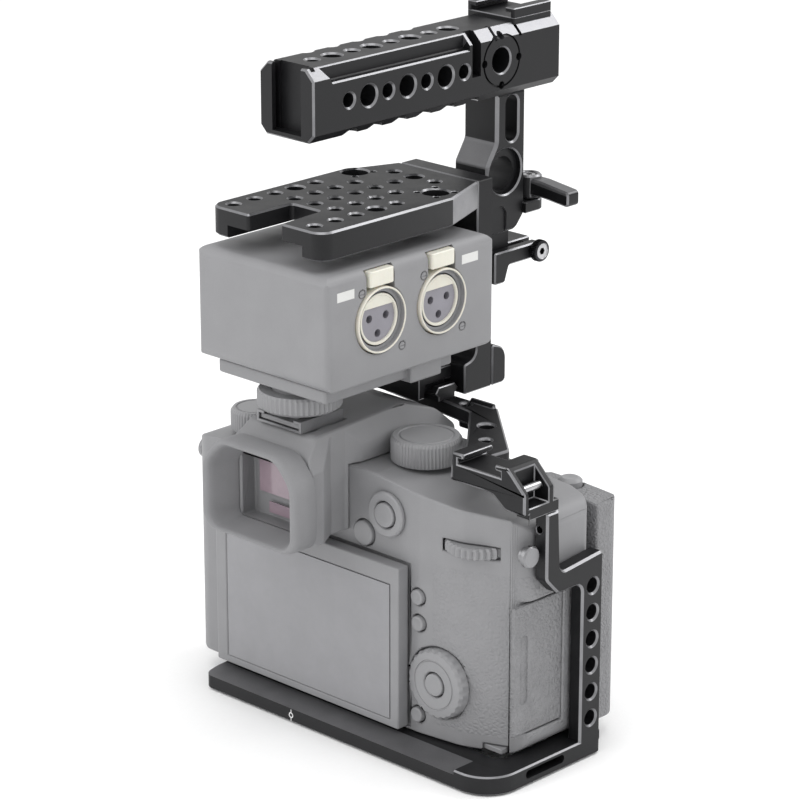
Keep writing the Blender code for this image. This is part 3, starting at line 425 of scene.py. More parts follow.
# the rear ledge slopes up to the plate; it is in the slope colour, painted light as if it caught the lamps
rear_slope = bar("x", np.array([(-54.0, 4.1), (-41.0, base_top), (-41.0, 9.0), (-54.0, 9.0)]), -60.0, 72.0,
                 0.0, tones=(2, 2))
strap_slot = bar("x", box_outline(-33.0, -15.0, 2.2, 5.0, 1.35), 80.0, 90.0, 0.0)
arm_outline = arcs([(2.5, 4.0), (2.5, 69.0), (-18.0, 67.0), (-19.0, 87.9), (-24.6, 87.9), (-24.6, 66.0),
                    (-19.0, 60.3), (-7.6, 60.3), (-7.6, 4.0)], [0.0, 1.6, 2.5, 0.0, 0.0, 3.0, 2.0, 3.0, 0.0],
                   8)
bar_holes = [circle((-2.6, 13.3 + hole_pitch * k), 2.5) for k in range(6)]
arm = bar("x", arm_outline, 81.6, side_face, 0.7, bar_holes, 0.6)
arm_screw = drill("y", (83.5, 82.0), 1.2, -24.6, -20.0, 0.3, (True, False), 20)
# a chamfer down the side bar's front upright edge, in the chamfer colour: a painted highlight strip
front_bevel = bar("z", np.array([(85.2, 3.2), (87.6, 0.8), (89.0, 4.0)]), 7.5, 67.5, 0.0, tones=(1, 1))
cage_shape = joined(carve(base, rear_slope, strap_slot), arm)
piece("cage_frame_metal", carve(cage_shape, arm_screw, front_bevel), METAL, ["cage_frame"])

# The centre line of the lens is marked on the base plate's rear face by a laser: a ring with a stroke above and
# below it, white where the black skin is burnt away.
PRINT = finish_material("laser_white", "#d8d8d8", "#f0f0f0", 0.0, (0.5, 0.6), 0.4, 0.004)
mark_ring = lathe("y", (0.0, 2.4), [(1.0, base_rear - 0.03), (1.0, base_rear + 0.05),
                                    (0.62, base_rear + 0.05), (0.62, base_rear - 0.03)], 32, loop=True)
mark_strokes = [slab(-0.16, 0.16, base_rear - 0.03, base_rear + 0.05, z, z + 1.0) for z in (0.45, 3.35)]
piece("index_mark", together(mark_ring, *mark_strokes), (PRINT,), [], body="root")


# ------------------------------------------------------------ cage top
# Strap loop, cold shoe and link plate, milled in one and screwed to the arm. The shoe's lips overhang its floor
# on both sides; the loop is a square window with a steel pin across it.

shoe_rear, shoe_front = -35.3, -21.6
shoe_profile = arcs([(56.9, 94.2), (73.6, 94.2), (79.0, 90.0), (side_face, 90.0), (side_face, 96.8),
                     (79.8, 103.8), (74.6, 103.8), (74.6, 101.9), (77.0, 101.9), (77.0, 100.2), (59.3, 100.2),
                     (59.3, 101.9), (61.7, 101.9), (61.7, 103.6), (56.9, 103.6)],
                    [0.8, 4.0, 4.0, 0.8, 1.2, 1.2, 0, 0, 0, 0, 0, 0, 0, 0, 0], 6)
shoe = bar("y", shoe_profile, shoe_rear, shoe_front, 0.35)
neck = slab(81.6, side_face, -33.0, -19.4, 88.2, 92.0)
link_outline = arcs([(56.9, shoe_rear), (60.0, -28.0), (61.7, -14.0), (32.5, 12.8), (-17.0, 12.8),
                     (-17.0, 11.0), (27.0, 5.0), (44.5, -15.0), (55.0, -28.0)],
                    [0, 1.0, 3.0, 0, 0, 1.0, 3.0, 3.0, 1.0], 6)
link_holes = [circle((50.0, -12.0), 1.7, 20), circle((41.0, -2.0), 2.6, 28), circle((22.0, 9.0), 1.7, 20)]
link = bar("z", link_outline, 94.6, 99.8, 0.4, link_holes, 0.5)
ramp = bar("x", np.array([(12.8, 92.4), (12.8, 101.0), (12.2, 101.0), (6.2, 95.0), (6.4, 92.4)]), 21.0, 31.6,
           0.35)
loop_window = slab(81.0, 90.0, -33.2, -24.2, 92.0, 108.0)
cage_top_shape = carve(joined(shoe, neck, link, ramp), loop_window)
piece("cage_top_metal", cage_top_shape, METAL, ["cage_top"], bevel=0.3, segments=1)

rail_profile = np.array([(3.6, 100.1), (11.2, 100.1), (11.2, 101.6), (12.6, 103.0), (11.2, 104.9),
                         (3.6, 104.9), (2.2, 103.0), (3.6, 101.6)])
rail_slots = [slab(-14.4 + 6.0 * k, -11.6 + 6.0 * k, 0.0, 16.0, 102.6, 108.0) for k in range(5)]
piece("cage_rail_metal", carve(bar("x", rail_profile, -17.0, 15.0, 0.3), *rail_slots), METAL, ["cage_rail"])


# ------------------------------------------------------------ small steel parts
# Pins and screws turned from stainless steel, with a socket or a slot for the key; the clamp's and the plate's
# screws are blackened. The marks of turning are too fine to show, so a grain 0.35 mm across stands for them.

STEEL = finish_material("turned_steel", "#a9a9ab", "#bdbdbf", 1.0, (0.24, 0.34), 0.35, 0.004)
BLUED = finish_material("blackened_steel", "#2a2a2c", "#343437", 0.85, (0.30, 0.40), 0.35, 0.004)
# bare steel is bright with a narrow highlight; the blackened screws are dark with a soft glint


def cap_screw(axis, centre, tip, seat, shank, head, height, key, sides=36):
    """A screw along an axis: shank from its tip to the seat, a chamfered head, and a six-sided key socket."""
    way = 1.0 if seat > tip else -1.0
    body = lathe(axis, centre, [(shank * 0.8, tip), (shank, tip + 0.4 * way), (shank, seat), (head, seat),
                                (head, seat + (height - 0.3) * way), (head - 0.3, seat + height * way)],
                 sides)
    low, high = sorted((seat + (height - key) * way, seat + (height + 1.0) * way))
    return carve(body, bar(axis, circle(centre, key, 6), low, high, 0.0))


pin_body = lathe("y", (83.4, 97.0), [(1.1, -33.0), (1.3, -32.8), (1.3, -24.6), (1.1, -24.4)], 28)
piece("strap_pin_steel", pin_body, (STEEL,), ["strap_pin"])
tripod = lathe("z", (0.0, -18.0), [(2.4, 1.0), (3.0, 1.5), (3.0, 5.9), (2.6, 6.2)], 36)
piece("tripod_screw_steel", carve(tripod, slab(-0.5, 0.5, -21.5, -14.5, 0.0, 2.2)), (BLUED,),
      ["tripod_screw"])
for where, x in (("left", -11.0), ("right", 11.0)):
    piece("clamp_screw_" + where + "_steel", cap_screw("y", (x, 106.0), 21.8, 30.8, 1.2, 2.7, 2.5, 1.3),
          (BLUED,), ["clamp_screw_" + where])
piece("plate_screw_steel", cap_screw("y", (0.0, 166.6), 23.5, 23.7, 1.4, 3.2, 2.5, 1.5), (BLUED,),
      ["plate_screw"])


# ------------------------------------------------------------ top plate
# Cheese plate milled from thick aluminium: a grid of countersunk holes, two large locating holes with small pin
# holes round them, a notch in the rear edge, and a relief underneath that leaves corner legs. The left locating
# hole has two pin holes instead of four, as the others would run into the slanted edge.


def retoned(shape, low, high, tone):
    """The shape with its faces whose middles lie in the box between two corners put in another material."""
    points, faces, marks = shape
    middles = np.array([points[face].mean(0) for face in faces])
    inside = np.all((middles > low) & (middles < high), axis=1)
    return points, faces, np.where(inside, tone, marks).tolist()


plate_top, plate_low = 171.2, 161.9
plate_half, plate_rear, riser_rear = 25.0, -59.0, 19.0
plate_outline = arcs(
    [(-plate_half, plate_rear), (-7.0, plate_rear), (-7.0, -40.3), (5.6, -40.3), (7.2, plate_rear),
     (plate_half, plate_rear), (plate_half, -1.0), (17.4, riser_rear - 0.3), (-17.4, riser_rear - 0.3),
     (-plate_half, -1.0)], [5.0, 1.2, 1.5, 1.5, 1.2, 5.0, 0, 0, 0, 0], 8)
grid_pitch = 8.95
plate_holes = []
for column in range(5):
    for row in range(8):
        outer, middle = column in (0, 4), column == 2
        centre = (-19.5 + grid_pitch * column, -53.4 + grid_pitch * row)
        if outer and row < 5:
            plate_holes.append(circle(centre, 2.9 if row == 3 else 2.1, 24))
        elif outer and row == 6:
            plate_holes.append(circle(centre, 4.4, 36))
        elif not outer and row in (2, 3, 4, 5, 7) or middle and row == 6:
            plate_holes.append(circle(centre, 2.9 if middle and row == 7 else 2.1, 24))
plate = bar("z", plate_outline, plate_low, plate_top, 0.6, plate_holes, 0.55)
relief = bar("z", box_outline(-16.5, 16.5, plate_rear - 8.0, 10.0, 3.5), plate_low - 1.0, plate_low + 4.1,
             0.0)
pin_holes = [drill("z", (-19.5 + grid_pitch * column + 5.9 * math.cos(a), 0.3 + 5.9 * math.sin(a)), 1.1,
                   plate_top - 5.0, plate_top, 0.2, (False, True), 16)
             for column, angles in ((0, (45.0, 315.0)),
                                    (4, (45.0, 135.0, 225.0, 315.0))) for a in np.radians(angles)]
plate = carve(plate, relief, *pin_holes)
# the plate's two slanted front walls take the chamfer colour: a painted highlight on them
for side in (-1.0, 1.0):
    middle = 21.2 * side
    plate = retoned(plate, (middle - 1.2, 6.0, 163.5), (middle + 1.2, 12.0, 169.5), 1)
piece("top_plate_metal", plate, METAL, ["top_plate"])


# ------------------------------------------------------------ riser
# Upright plate in front of the adapter. A saddle and a loose block clamp it to the cage's rail below, and a
# vertical dovetail rail in front carries the handle.

riser_front, riser_half = 26.3, 17.2


def rail_head(grow):
    """Plan of the dovetail: a neck and a head with slanted shoulders; grow widens it for the matching groove."""
    half = 5.2 + grow
    right = [(3.4 + grow, riser_front - 1.0), (3.4 + grow, 35.2 - grow), (half, 36.6 - grow),
             (half, 37.6 + grow), (3.8 + grow, 38.6 + grow)]
    return np.array(right + [(-x, y) for x, y in reversed(right)])


wall = bar("y", box_outline(-riser_half, riser_half, 104.0, plate_top, 0.8, 4), riser_rear, riser_front, 0.5,
           [box_outline(-10.0, 10.0, 120.0, 133.0, 3.0)], 0.5)
foot_side = arcs([(13.4, 100.6), (riser_front, 100.6), (riser_front, 118.0), (riser_rear, 118.0),
                  (riser_rear, 112.0), (13.4, 110.6)], [0.8, 0, 0, 0, 4.0, 0.8], 8)
foot = bar("x", foot_side, -riser_half, riser_half, 0.5)
saddle = bar("x", np.array([(-1.6, 100.9), (1.0, 100.9), (1.0, 102.0), (1.8, 105.3), (15.0, 105.3),
                            (15.0, 109.6), (0.0, 109.6), (-1.6, 108.0)]), -11.0, 11.0, 0.3)
dovetail = bar("z", rail_head(0.0), 137.4, 158.0, 0.3)
riser_cuts = [drill("y", (x, 106.0), 1.4, 20.3, riser_front, 0.2, (False, True), 20) for x in (-11.0, 11.0)]
riser_cuts.append(drill("y", (0.0, 166.6), 3.5, 23.3, riser_front, 0.4, (False, True)))
piece("riser_metal", carve(joined(wall, foot, saddle, dovetail), *riser_cuts), METAL, ["riser"])

block_side = arcs([(26.6, 100.6), (33.2, 100.6), (33.2, 112.5), (26.6, 114.6)], [0.8, 1.8, 5.0, 0.8], 8)
block_cuts = []
for x in (-11.0, 11.0):
    block_cuts += [drill("y", (x, 106.0), 3.0, 30.4, 33.2, 0.4, (False, True)),
                   drill("y", (x, 106.0), 1.4, 25.0, 31.0, 0.1, (True, True), 20)]
piece("clamp_block_metal", carve(bar("x", block_side, -riser_half, riser_half, 0.5), *block_cuts), METAL,
      ["clamp_block"])


# ------------------------------------------------------------ handle
# Milled top handle: a long grip drilled from the side, from above and from below to lose weight, an accessory
# slot in its rear end, a shoe on its front, and an upright with a slot and a round window.


def rod(axis, centre, radius, low, high, sides=28):
    """A cutter for a plain round hole or pocket, without countersinks."""
    return drill(axis, centre, radius, low, high, 0.0, (False, False), sides)


grip_low, grip_top, grip_half = 194.6, 217.6, 11.8
grip_rear, grip_front = -49.0, 64.0
hole_step, scallop_step = 8.65, 11.0
grip_section = arcs([(-grip_half, grip_low), (grip_half, grip_low), (grip_half, grip_top),
                     (-grip_half, grip_top)],
                    [2.6, 2.6, 3.4, 3.4], 1)
grip = bar("y", grip_section, grip_rear, grip_front, 0.6)
ledge = bar("y", np.array([(6.4, 219.8), (8.8, 217.4), (8.8, 213.2), (9.2, 212.8), (11.3, 212.8),
                           (13.5, 210.6), (14.0, 219.8)]), -41.0, 20.6, 0.0)
# the recess wall's top edge and the ledge's outer edge take the chamfer colour: painted highlight lines
ledge = retoned(retoned(ledge, (7.0, -50.0, 218.0), (8.2, 50.0, 219.2), 1), (12.0, -50.0, 211.2),
                (12.8, 50.0, 212.2), 1)
rear_end = ledge[0][:, 1] < -40.0
ledge[0][rear_end, 1] -= 0.6 * (ledge[0][rear_end, 2] - 212.8)
mirrored = (ledge[0] * (-1.0, 1.0, 1.0), ledge[1], ledge[2])
grip_cuts = [slab(-6.3, 6.3, grip_rear - 1.0, grip_rear + 4.2, grip_low + 1.8, grip_top + 1.0),
             slab(-9.3, 9.3, grip_rear + 1.6, grip_rear + 3.4, grip_low + 1.8, grip_top + 1.0), ledge,
             mirrored]
for k in range(7):
    wide = k % 2 == 1
    grip_cuts.append(drill("x", (-33.5 + hole_step * k, 206.0), 3.4 if wide else 2.3, -grip_half, grip_half,
                           0.6))
for k in range(8):
    grip_cuts.append(drill("z", (0.0, -37.8 + hole_step * k), 3.1 if k % 2 else 2.2, 203.0, grip_top, 0.6,
                           (False, True)))
for k in range(6):
    for x in (-8.4, 8.4):
        grip_cuts.append(drill("z", (x, -31.0 + scallop_step * k), 3.0, grip_low, 199.0, 0.5, (True, False)))
grip_cuts += [drill("z", (-10.6, -31.0 + scallop_step * k), 3.0, 212.0, grip_top, 0.5,
                    (False, True)) for k in range(5)]
grip_cuts += [slab(grip_half - 5.0, grip_half + 1.0, 21.8, 25.8, 203.5, 220.0),
              *[slab(7.0, grip_half + 1.0, y, y + 1.3, 213.6, 220.0) for y in (32.4, 43.8)]]
locating = (35.7, 206.9)
grip_cuts += [drill("x", locating, 4.2, grip_half - 9.0, grip_half, 0.5, (False, True), 36),
              lathe("x", locating, [(8.8, grip_half - 0.9), (8.8, grip_half + 1.0), (8.1, grip_half + 1.0),
                                    (8.1, grip_half - 0.9)], 48, loop=True)]
grip_cuts += [rod("x", (locating[0] + 8.1 * math.cos(a), locating[1] + 8.1 * math.sin(a)), 1.3,
                  grip_half - 2.0, grip_half, 18) for a in np.radians((0.0, 90.0, 180.0, 270.0))]
# only the grip's right top chamfer, the side towards the lamps, takes the chamfer colour: a painted highlight
grip = retoned(carve(grip, *grip_cuts), (9.2, -49.0, 215.0), (11.0, 64.0, 216.8), 1)
shoe_parts = [slab(-11.0, 9.4, 44.0, 62.0, grip_top - 1.0, grip_top + 1.4, 0.3)]
for side in (-1.0, 1.0):
    outer, inner, lip_edge = -0.8 + 10.2 * side, -0.8 + 8.5 * side, -0.8 + 6.2 * side
    shoe_parts += [slab(*sorted((outer, inner)), 44.0, 62.0, grip_top + 1.0, grip_top + 4.4, 0.3),
                   slab(*sorted((outer, lip_edge)), 44.0, 62.0, grip_top + 2.9, grip_top + 4.4, 0.3)]
piece("handle_grip_metal", joined(grip, *shoe_parts), METAL, ["handle_grip"])

post_half = 7.5
window_axis = (42.9, 168.0)
screw_axis = (55.0, 139.6)
lever_axis = (5.0, 57.2)
post_side = arcs([(34.0, 147.4), (48.5, 147.4), (52.5, 152.0), (52.5, grip_low - 0.3), (38.5, grip_low - 0.3),
                  (38.5, 178.0), (34.0, 171.0)], [0, 3.0, 3.0, 0, 0, 4.0, 3.0], 8)
post = bar("x", post_side, -post_half, post_half, 1.0, [box_outline(43.0, 48.8, 177.6, 193.0, 2.8)], 0.6)
post_parts = [slab(-6.4, 6.4, 34.0, 46.0, 136.8, 148.4, 0.4), slab(-6.4, 4.4, 45.0, 58.6, 136.8, 142.4, 0.4),
              bar("z", arcs([(0.8, 51.0), (9.2, 51.0), (9.2, 61.2), (0.8, 61.2)], [0, 0, 3.8, 3.8]), 152.4,
                  156.2, 0.4)]
post_cuts = [bar("z", rail_head(0.3), 130.0, 158.4, 0.0),
             drill("x", window_axis, 7.7, post_half - 2.2, post_half, 0.5, (False, True), 48),
             drill("x", window_axis, 7.7, -post_half, 2.2 - post_half, 0.5, (True, False), 48),
             rod("x", (42.9, 167.0), 5.8, -post_half, post_half, 48),
             drill("x", screw_axis, 1.5, -4.0, 4.4, 0.2, (False, True), 20),
             # the walls of this shallow side pocket take the chamfer colour: painted highlight lines round it
             retoned(bar("x", arcs([(35.5, 147.0), (43.5, 147.0), (43.5, 156.8), (35.5, 156.8)],
                                   [0, 0, 3.6, 3.6]),
                         6.8, 8.4, 0.0, tones=(1, 0)), (6.7, 30.0, 140.0), (6.9, 50.0, 160.0), 0),
             drill("z", lever_axis, 1.3, 153.4, 156.2, 0.2, (False, True), 20)]
post = carve(joined(post, *post_parts), *post_cuts)
# the post's sloping rear flare is in the slope colour: painted light where it faces up
piece("handle_post_metal", retoned(post, (-6.0, 33.9, 169.5), (6.0, 38.4, 179.0), 2), METAL, ["handle_post"])


# ------------------------------------------------------------ handle clamp
# Jaw bar with its socket-head screw and knurled rim, and a cranked cam lever on a steel pin. Turning the lever
# pinches the handle's foot on the riser's dovetail.

jaw_outline = arcs([(35.0, 131.4), (40.0, 131.4), (42.0, 137.0), (58.4, 137.0), (58.4, 142.2), (35.0, 142.2)],
                   [1.0, 1.0, 1.0, 2.5, 2.5, 0.6], 8)
jaw = bar("x", jaw_outline, 6.8, 10.4, 0.5)
piece("foot_jaw_metal", carve(jaw, drill("x", screw_axis, 1.5, 6.8, 10.4, 0.2, sides=20)), METAL,
      ["foot_jaw"])


def knurl(depth, teeth, rows):
    """Radius factor for a straight knurl: a triangle wave of teeth round the axis on the given profile rows."""
    def factor(k, t):
        """The factor at angle t on profile row k: 1 between teeth, less depth at a tooth's foot."""
        wave = np.abs((t * teeth / (2.0 * np.pi)) % 1.0 - 0.5) * 2.0
        return 1.0 - depth * wave if k in rows else 1.0
    return factor


jaw_head = lathe("x", screw_axis, [(1.2, -3.4), (1.2, 10.7), (3.45, 10.7), (3.7, 11.0), (3.7, 12.8),
                                   (3.4, 13.2), (2.7, 13.4), (2.5, 13.1)], 144, [0, 0, 0, 0, 0, 0, 1, 1],
                 knurl(0.07, 36, (3, 4)))
jaw_head = carve(jaw_head, bar("x", circle(screw_axis, 1.25, 6), 11.6, 15.0, 0.0))
piece("jaw_screw_steel", jaw_head, (BLUED, STEEL), ["jaw_screw"])

hub = lathe("z", lever_axis, [(3.6, 156.5), (4.2, 157.1), (4.2, 163.8), (3.6, 164.4)], 48, [1, 0, 1])
lever_side = arcs([(4.0, 157.4), (4.0, 163.4), (12.0, 163.2), (24.5, 161.6), (24.5, 156.4), (12.0, 157.8)],
                  [0.9, 0.9, 5.0, 1.4, 1.4, 5.0], 10)
lever = joined(hub, bar("y", lever_side, 54.4, 60.2, 0.6))
lever = carve(lever, drill("z", lever_axis, 1.5, 156.5, 163.0, 0.1, sides=20),
              drill("z", lever_axis, 2.6, 162.0, 164.4, 0.4, (False, True)))
# the lever's upper faces are in the slope colour: painted light on its top
piece("clamp_lever_metal", retoned(lever, (6.0, 54.0, 161.0), (26.0, 61.0, 164.0), 2), METAL, ["clamp_lever"])
lever_pin = lathe("z", lever_axis, [(1.0, 153.7), (1.1, 153.9), (1.1, 162.3), (2.3, 162.3), (2.3, 163.8),
                                    (2.1, 164.0)],
                  36)
lever_pin = carve(lever_pin, bar("z", circle(lever_axis, 1.15, 6), 163.0, 166.0, 0.0))
piece("lever_pin_steel", lever_pin, (STEEL,), ["lever_pin"])


# ------------------------------------------------------------ camera shell
# The camera's magnesium covers, painted, with a raised lens mount, pockets for every dial and button, and
# stick-on leatherette round the grip side. The whole camera is pale grey, as is the adapter.

GREY = finish_material("grey_paint", "#848486", "#89898b", 0.0, (0.46, 0.56), 0.35, 0.012)
# fine crackle paint: satin, with soft wide highlights on the rounded edges
grey_tree = GREY.node_tree
grey_shader = grey_tree.nodes["Principled BSDF"]
pebble = 1.5                # mm across; the leatherette is part of this shell from x = 51 mm outwards
place = add(grey_tree, "ShaderNodeTexCoord", {}).outputs["Object"]
cells = add(grey_tree, "ShaderNodeTexVoronoi", {"Vector": place, "Scale": 1000.0 / pebble},
            feature="DISTANCE_TO_EDGE")
axes = add(grey_tree, "ShaderNodeSeparateXYZ", {"Vector": place})
past = add(grey_tree, "ShaderNodeMath", {0: axes.outputs["X"], 1: 51.0 * MM}, operation="GREATER_THAN")
below = add(grey_tree, "ShaderNodeMath", {0: axes.outputs["Z"], 1: 66.0 * MM}, operation="LESS_THAN")
above = add(grey_tree, "ShaderNodeMath", {0: axes.outputs["Z"], 1: 11.5 * MM}, operation="GREATER_THAN")
area = add(grey_tree, "ShaderNodeMath", {0: past.outputs[0], 1: below.outputs[0]}, operation="MULTIPLY")
area = add(grey_tree, "ShaderNodeMath", {0: area.outputs[0], 1: above.outputs[0]}, operation="MULTIPLY")
hide = add(grey_tree, "ShaderNodeMath", {0: cells.outputs["Distance"], 1: area.outputs[0]},
           operation="MULTIPLY")
leather = add(grey_tree, "ShaderNodeBump", {"Height": hide.outputs[0], "Strength": 0.7, "Distance": 0.6 * MM,
                                            "Normal": grey_shader.inputs["Normal"].links[0].from_socket})
grey_tree.links.new(leather.outputs["Normal"], grey_shader.inputs["Normal"])


def prism(axis, corners, radii, low, high, steps=10):
    """The solid that an outline with rounded corners sweeps along an axis, without chamfers."""
    return bar(axis, arcs(corners, radii, steps), low, high, 0.0)


def common(shape, *others):
    """The part that all the shapes share, worked out one after another."""
    for other in others:
        shape = carve(shape, other, operation="INTERSECT")
    return shape


shell_plan = prism("z", [(-57.5, -38.0), (46.0, -38.0), (62.0, -36.0), (81.0, -28.0), (81.0, 2.0),
                         (70.0, 6.0), (-57.5, 6.0)], [7, 12, 12, 8, 4, 4, 9], 0.0, 95.0, 14)
shell_front = prism("y", [(-57.5, 6.6), (81.0, 6.6), (81.0, 84.3), (58.0, 86.0), (26.0, 89.5), (-26.0, 89.5),
                          (-29.0, 85.0), (-57.5, 83.0)], [5, 5, 6, 20, 10, 2, 2, 7], -45.0, 12.0, 14)
lens_axis, release_axis, rear_axis, focus_axis = (0.0, 52.0), (38.5, 40.0), (53.6, 26.0), (32.5, 77.6)
mode_axis, drive_axis, wheel_axis, shutter_axis = (29.5, -17.6), (-39.5, -26.0), (62.5, -28.5), (64.0, 12.0)
boss = lathe("y", lens_axis, [(33.5, 2.0), (33.5, 7.7), (33.0, 8.2)], 96)
shell_cuts = [slab(-44.6, 41.8, -45.0, -37.0, 7.6, 63.1),
              drill("y", lens_axis, 21.0, -8.0, 8.2, 0.3, (False, True), 72),
              drill("y", release_axis, 4.6, 2.6, 6.0, 0.3, (False, True)),
              slab(78.8, 85.0, -32.5, -9.6, 13.4, 57.6), slab(-60.0, -55.5, -29.5, -4.5, 10.4, 72.6),
              slab(50.0, 76.5, -33.0, -3.4, 5.0, 8.9),
              rod("z", mode_axis, 3.2, 82.0, 95.0),
              rod("z", drive_axis, 2.6, 78.0, 95.0),
              rod("z", wheel_axis, 11.3, 70.9, 75.1, 64),
              rod("y", rear_axis, 12.0, -45.0, -35.4, 64),
              rod("y", rear_axis, 4.0, -36.0, -33.5)]
for centre, radius in (((45.3, 53.1), 2.9), ((45.4, 13.1), 2.9), ((45.6, 44.3), 2.9), ((22.0, 68.5), 4.5),
                       (focus_axis, 4.4)):
    shell_cuts.append(rod("y", centre, radius, -45.0, -35.0))
shell = joined(common(shell_plan, shell_front), boss)
piece("camera_shell_paint", carve(shell, *shell_cuts), (GREY,), ["camera_shell"], bevel=0.5)

LEATHER = finish_material("leatherette", "#7c7c7e", "#868688", 0.0, (0.5, 0.62), 0.5, 0.02)
# pebbled vinyl: each pebble has its own small highlight
leather_tree = LEATHER.node_tree
place = add(leather_tree, "ShaderNodeTexCoord", {}).outputs["Object"]
cells = add(leather_tree, "ShaderNodeTexVoronoi", {"Vector": place, "Scale": 1000.0 / pebble},
            feature="DISTANCE_TO_EDGE")
pebbles = add(leather_tree, "ShaderNodeBump", {"Height": cells.outputs["Distance"], "Strength": 0.9,
                                               "Distance": 0.8 * MM})
leather_tree.links.new(pebbles.outputs["Normal"], leather_tree.nodes["Principled BSDF"].inputs["Normal"])

grip_plan = prism("z", [(44.0, 6.3), (52.0, 14.0), (58.0, 22.0), (73.0, 22.0), (80.5, 15.0), (80.5, 6.3)],
                  [1, 5, 8, 8, 6, 1], 0.0, 90.0)
grip_faces = prism("y", [(40.0, 7.0), (83.0, 7.0), (83.0, 80.5), (64.0, 82.8), (40.0, 82.8)], [0, 0, 4, 6, 0],
                   0.0, 30.0)
grip_sides = prism("x", [(0.0, 6.6), (20.5, 6.6), (22.0, 14.0), (22.0, 70.0), (16.5, 83.0), (0.0, 83.0)],
                   [0, 2, 6, 8, 4, 0], 35.0, 90.0)
grip_shape = common(grip_plan, grip_faces, grip_sides)
piece("camera_grip_leather", carve(grip_shape, slab(58.0, 70.0, 10.4, 30.0, 70.4, 74.6),
                                   rod("z", shutter_axis, 4.5, 80.6, 90.0)),
      (LEATHER,), ["camera_grip"], bevel=0.5)


# ------------------------------------------------------------ finder
# Moulded finder housing with sloping sides, a soft rubber eyecup round a deep window, the coated eyepiece, and
# below it a small window of the same glass that senses the eye.

RUBBER = finish_material("grey_rubber", "#7e7e80", "#848486", 0.0, (0.62, 0.74), 0.4, 0.015)
# matt moulded rubber: almost no highlight, edges only a little lighter
GLASS = finish_material("coated_eyepiece", "#8d7c86", "#98868f", 0.0, (0.08, 0.14), 2.0, 0.002,
                        Coat_Weight=0.6)
# the coating gives the glass its mauve colour and a sharp reflection

diopter_axis = (-50.0, 84.0)
housing_side = prism("x", [(-58.0, 68.0), (-58.0, 96.0), (-54.0, 99.5), (-52.0, 102.0), (-13.0, 103.6),
                           (1.0, 99.0), (7.0, 93.0), (7.0, 89.8), (-38.3, 89.8), (-38.3, 68.0)],
                     [3, 4, 0, 3, 8, 8, 2, 0, 0, 0], -30.0, 30.0)
housing_back = prism("y", [(-22.0, 60.0), (22.0, 60.0), (19.0, 92.0), (13.5, 104.6), (-13.5, 104.6),
                           (-19.0, 92.0)],
                     [0, 0, 2, 3, 3, 2], -62.0, 12.0)
right_plan = [(19.0, -60.0), (19.0, -53.0), (15.0, -46.0), (15.0, -40.0), (17.2, -34.0), (17.2, -18.0),
              (20.0, -6.0), (20.0, 10.0)]
plan_radii = [0, 2, 3, 3, 3, 8, 8, 0]
housing_plan = prism("z", right_plan + [(-x, y) for x, y in reversed(right_plan)],
                     plan_radii + plan_radii[::-1],
                     60.0, 110.0)
housing = common(housing_side, housing_back, housing_plan)
housing = carve(housing, slab(-13.0, 13.0, -65.0, -52.0, 70.8, 94.0),
                slab(-10.2, 10.2, -54.5, -34.1, 102.0, 110.0),
                rod("x", diopter_axis, 5.0, -25.0, -15.2))
piece("finder_housing_paint", housing, (GREY,), ["finder_housing"], bevel=0.5)

cup_outer = arcs([(-21.5, 67.5), (21.5, 67.5), (21.5, 90.0), (14.0, 99.0), (-14.0, 99.0), (-21.5, 90.0)],
                 [6, 6, 10, 9, 9, 10], 12)
cup_inner = arcs([(-14.0, 70.8), (14.0, 70.8), (14.0, 90.0), (9.0, 95.0), (-9.0, 95.0), (-14.0, 90.0)],
                 [2.5, 2.5, 4, 4, 4, 4], 12)


def ring_between(axis, outer, inner, profile):
    """A tube whose wall follows a closed profile of (share, height): share 0 is the outer loop, 1 the inner."""
    rows = [oriented(axis, outer * (1.0 - share) + inner * share, height) for share, height in profile]
    faces = band(len(outer), 0, len(profile), True).tolist()
    return np.concatenate(rows), faces, [0] * len(faces)


lip_profile = [(0.06, -58.3), (0.0, -58.9), (0.0, -66.4), (0.08, -67.5), (0.22, -68.0), (0.36, -67.8),
               (0.46, -67.0), (0.55, -65.5), (0.72, -62.0), (0.95, -59.4), (1.0, -58.3)]
piece("eyecup_rubber", ring_between("y", cup_outer, cup_inner, lip_profile), (RUBBER,), ["eyecup"],
      crease=50.0)
piece("finder_window_glass", slab(-9.5, 9.5, -53.6, -52.3, 79.0, 93.0), (GLASS,), ["finder_window"],
      bevel=0.25)
piece("eye_sensor_window", slab(-5.2, 5.2, -53.6, -53.0, 72.6, 76.2), (GLASS,), [], bevel=0.2,
      body="root")
wheel = lathe("x", diopter_axis, [(4.3, -17.9), (4.6, -17.5), (4.6, -16.0), (4.3, -15.6)], 96,
              wave=knurl(0.06, 24, (1, 2)))
CONTROL = finish_material("grey_control", "#88888a", "#8d8d8f", 0.0, (0.36, 0.46), 0.4, 0.006)
# moulded and painted dials and buttons: smoother than the shell, so their rims read as lighter lines
piece("diopter_wheel_paint", wheel, (CONTROL,), ["diopter_wheel"])


# ------------------------------------------------------------ camera metalwork
# Shoe, lens mount and strap lugs in plated steel, screwed to the shell, and the sensor under its cover glass at
# the bottom of the lens throat.

PLATED = finish_material("plated_steel", "#858587", "#8f8f91", 0.7, (0.28, 0.38), 0.5, 0.004)
# nickel over brushed steel: soft and bright, without a mirror image
SENSOR = finish_material("sensor_cover_glass", "#3a4a4c", "#4a5a62", 0.0, (0.04, 0.08), 3.0, 0.001,
                         Coat_Weight=1.0)
# the cover glass has a sharp reflection and gives the dark chip a blue-green tint

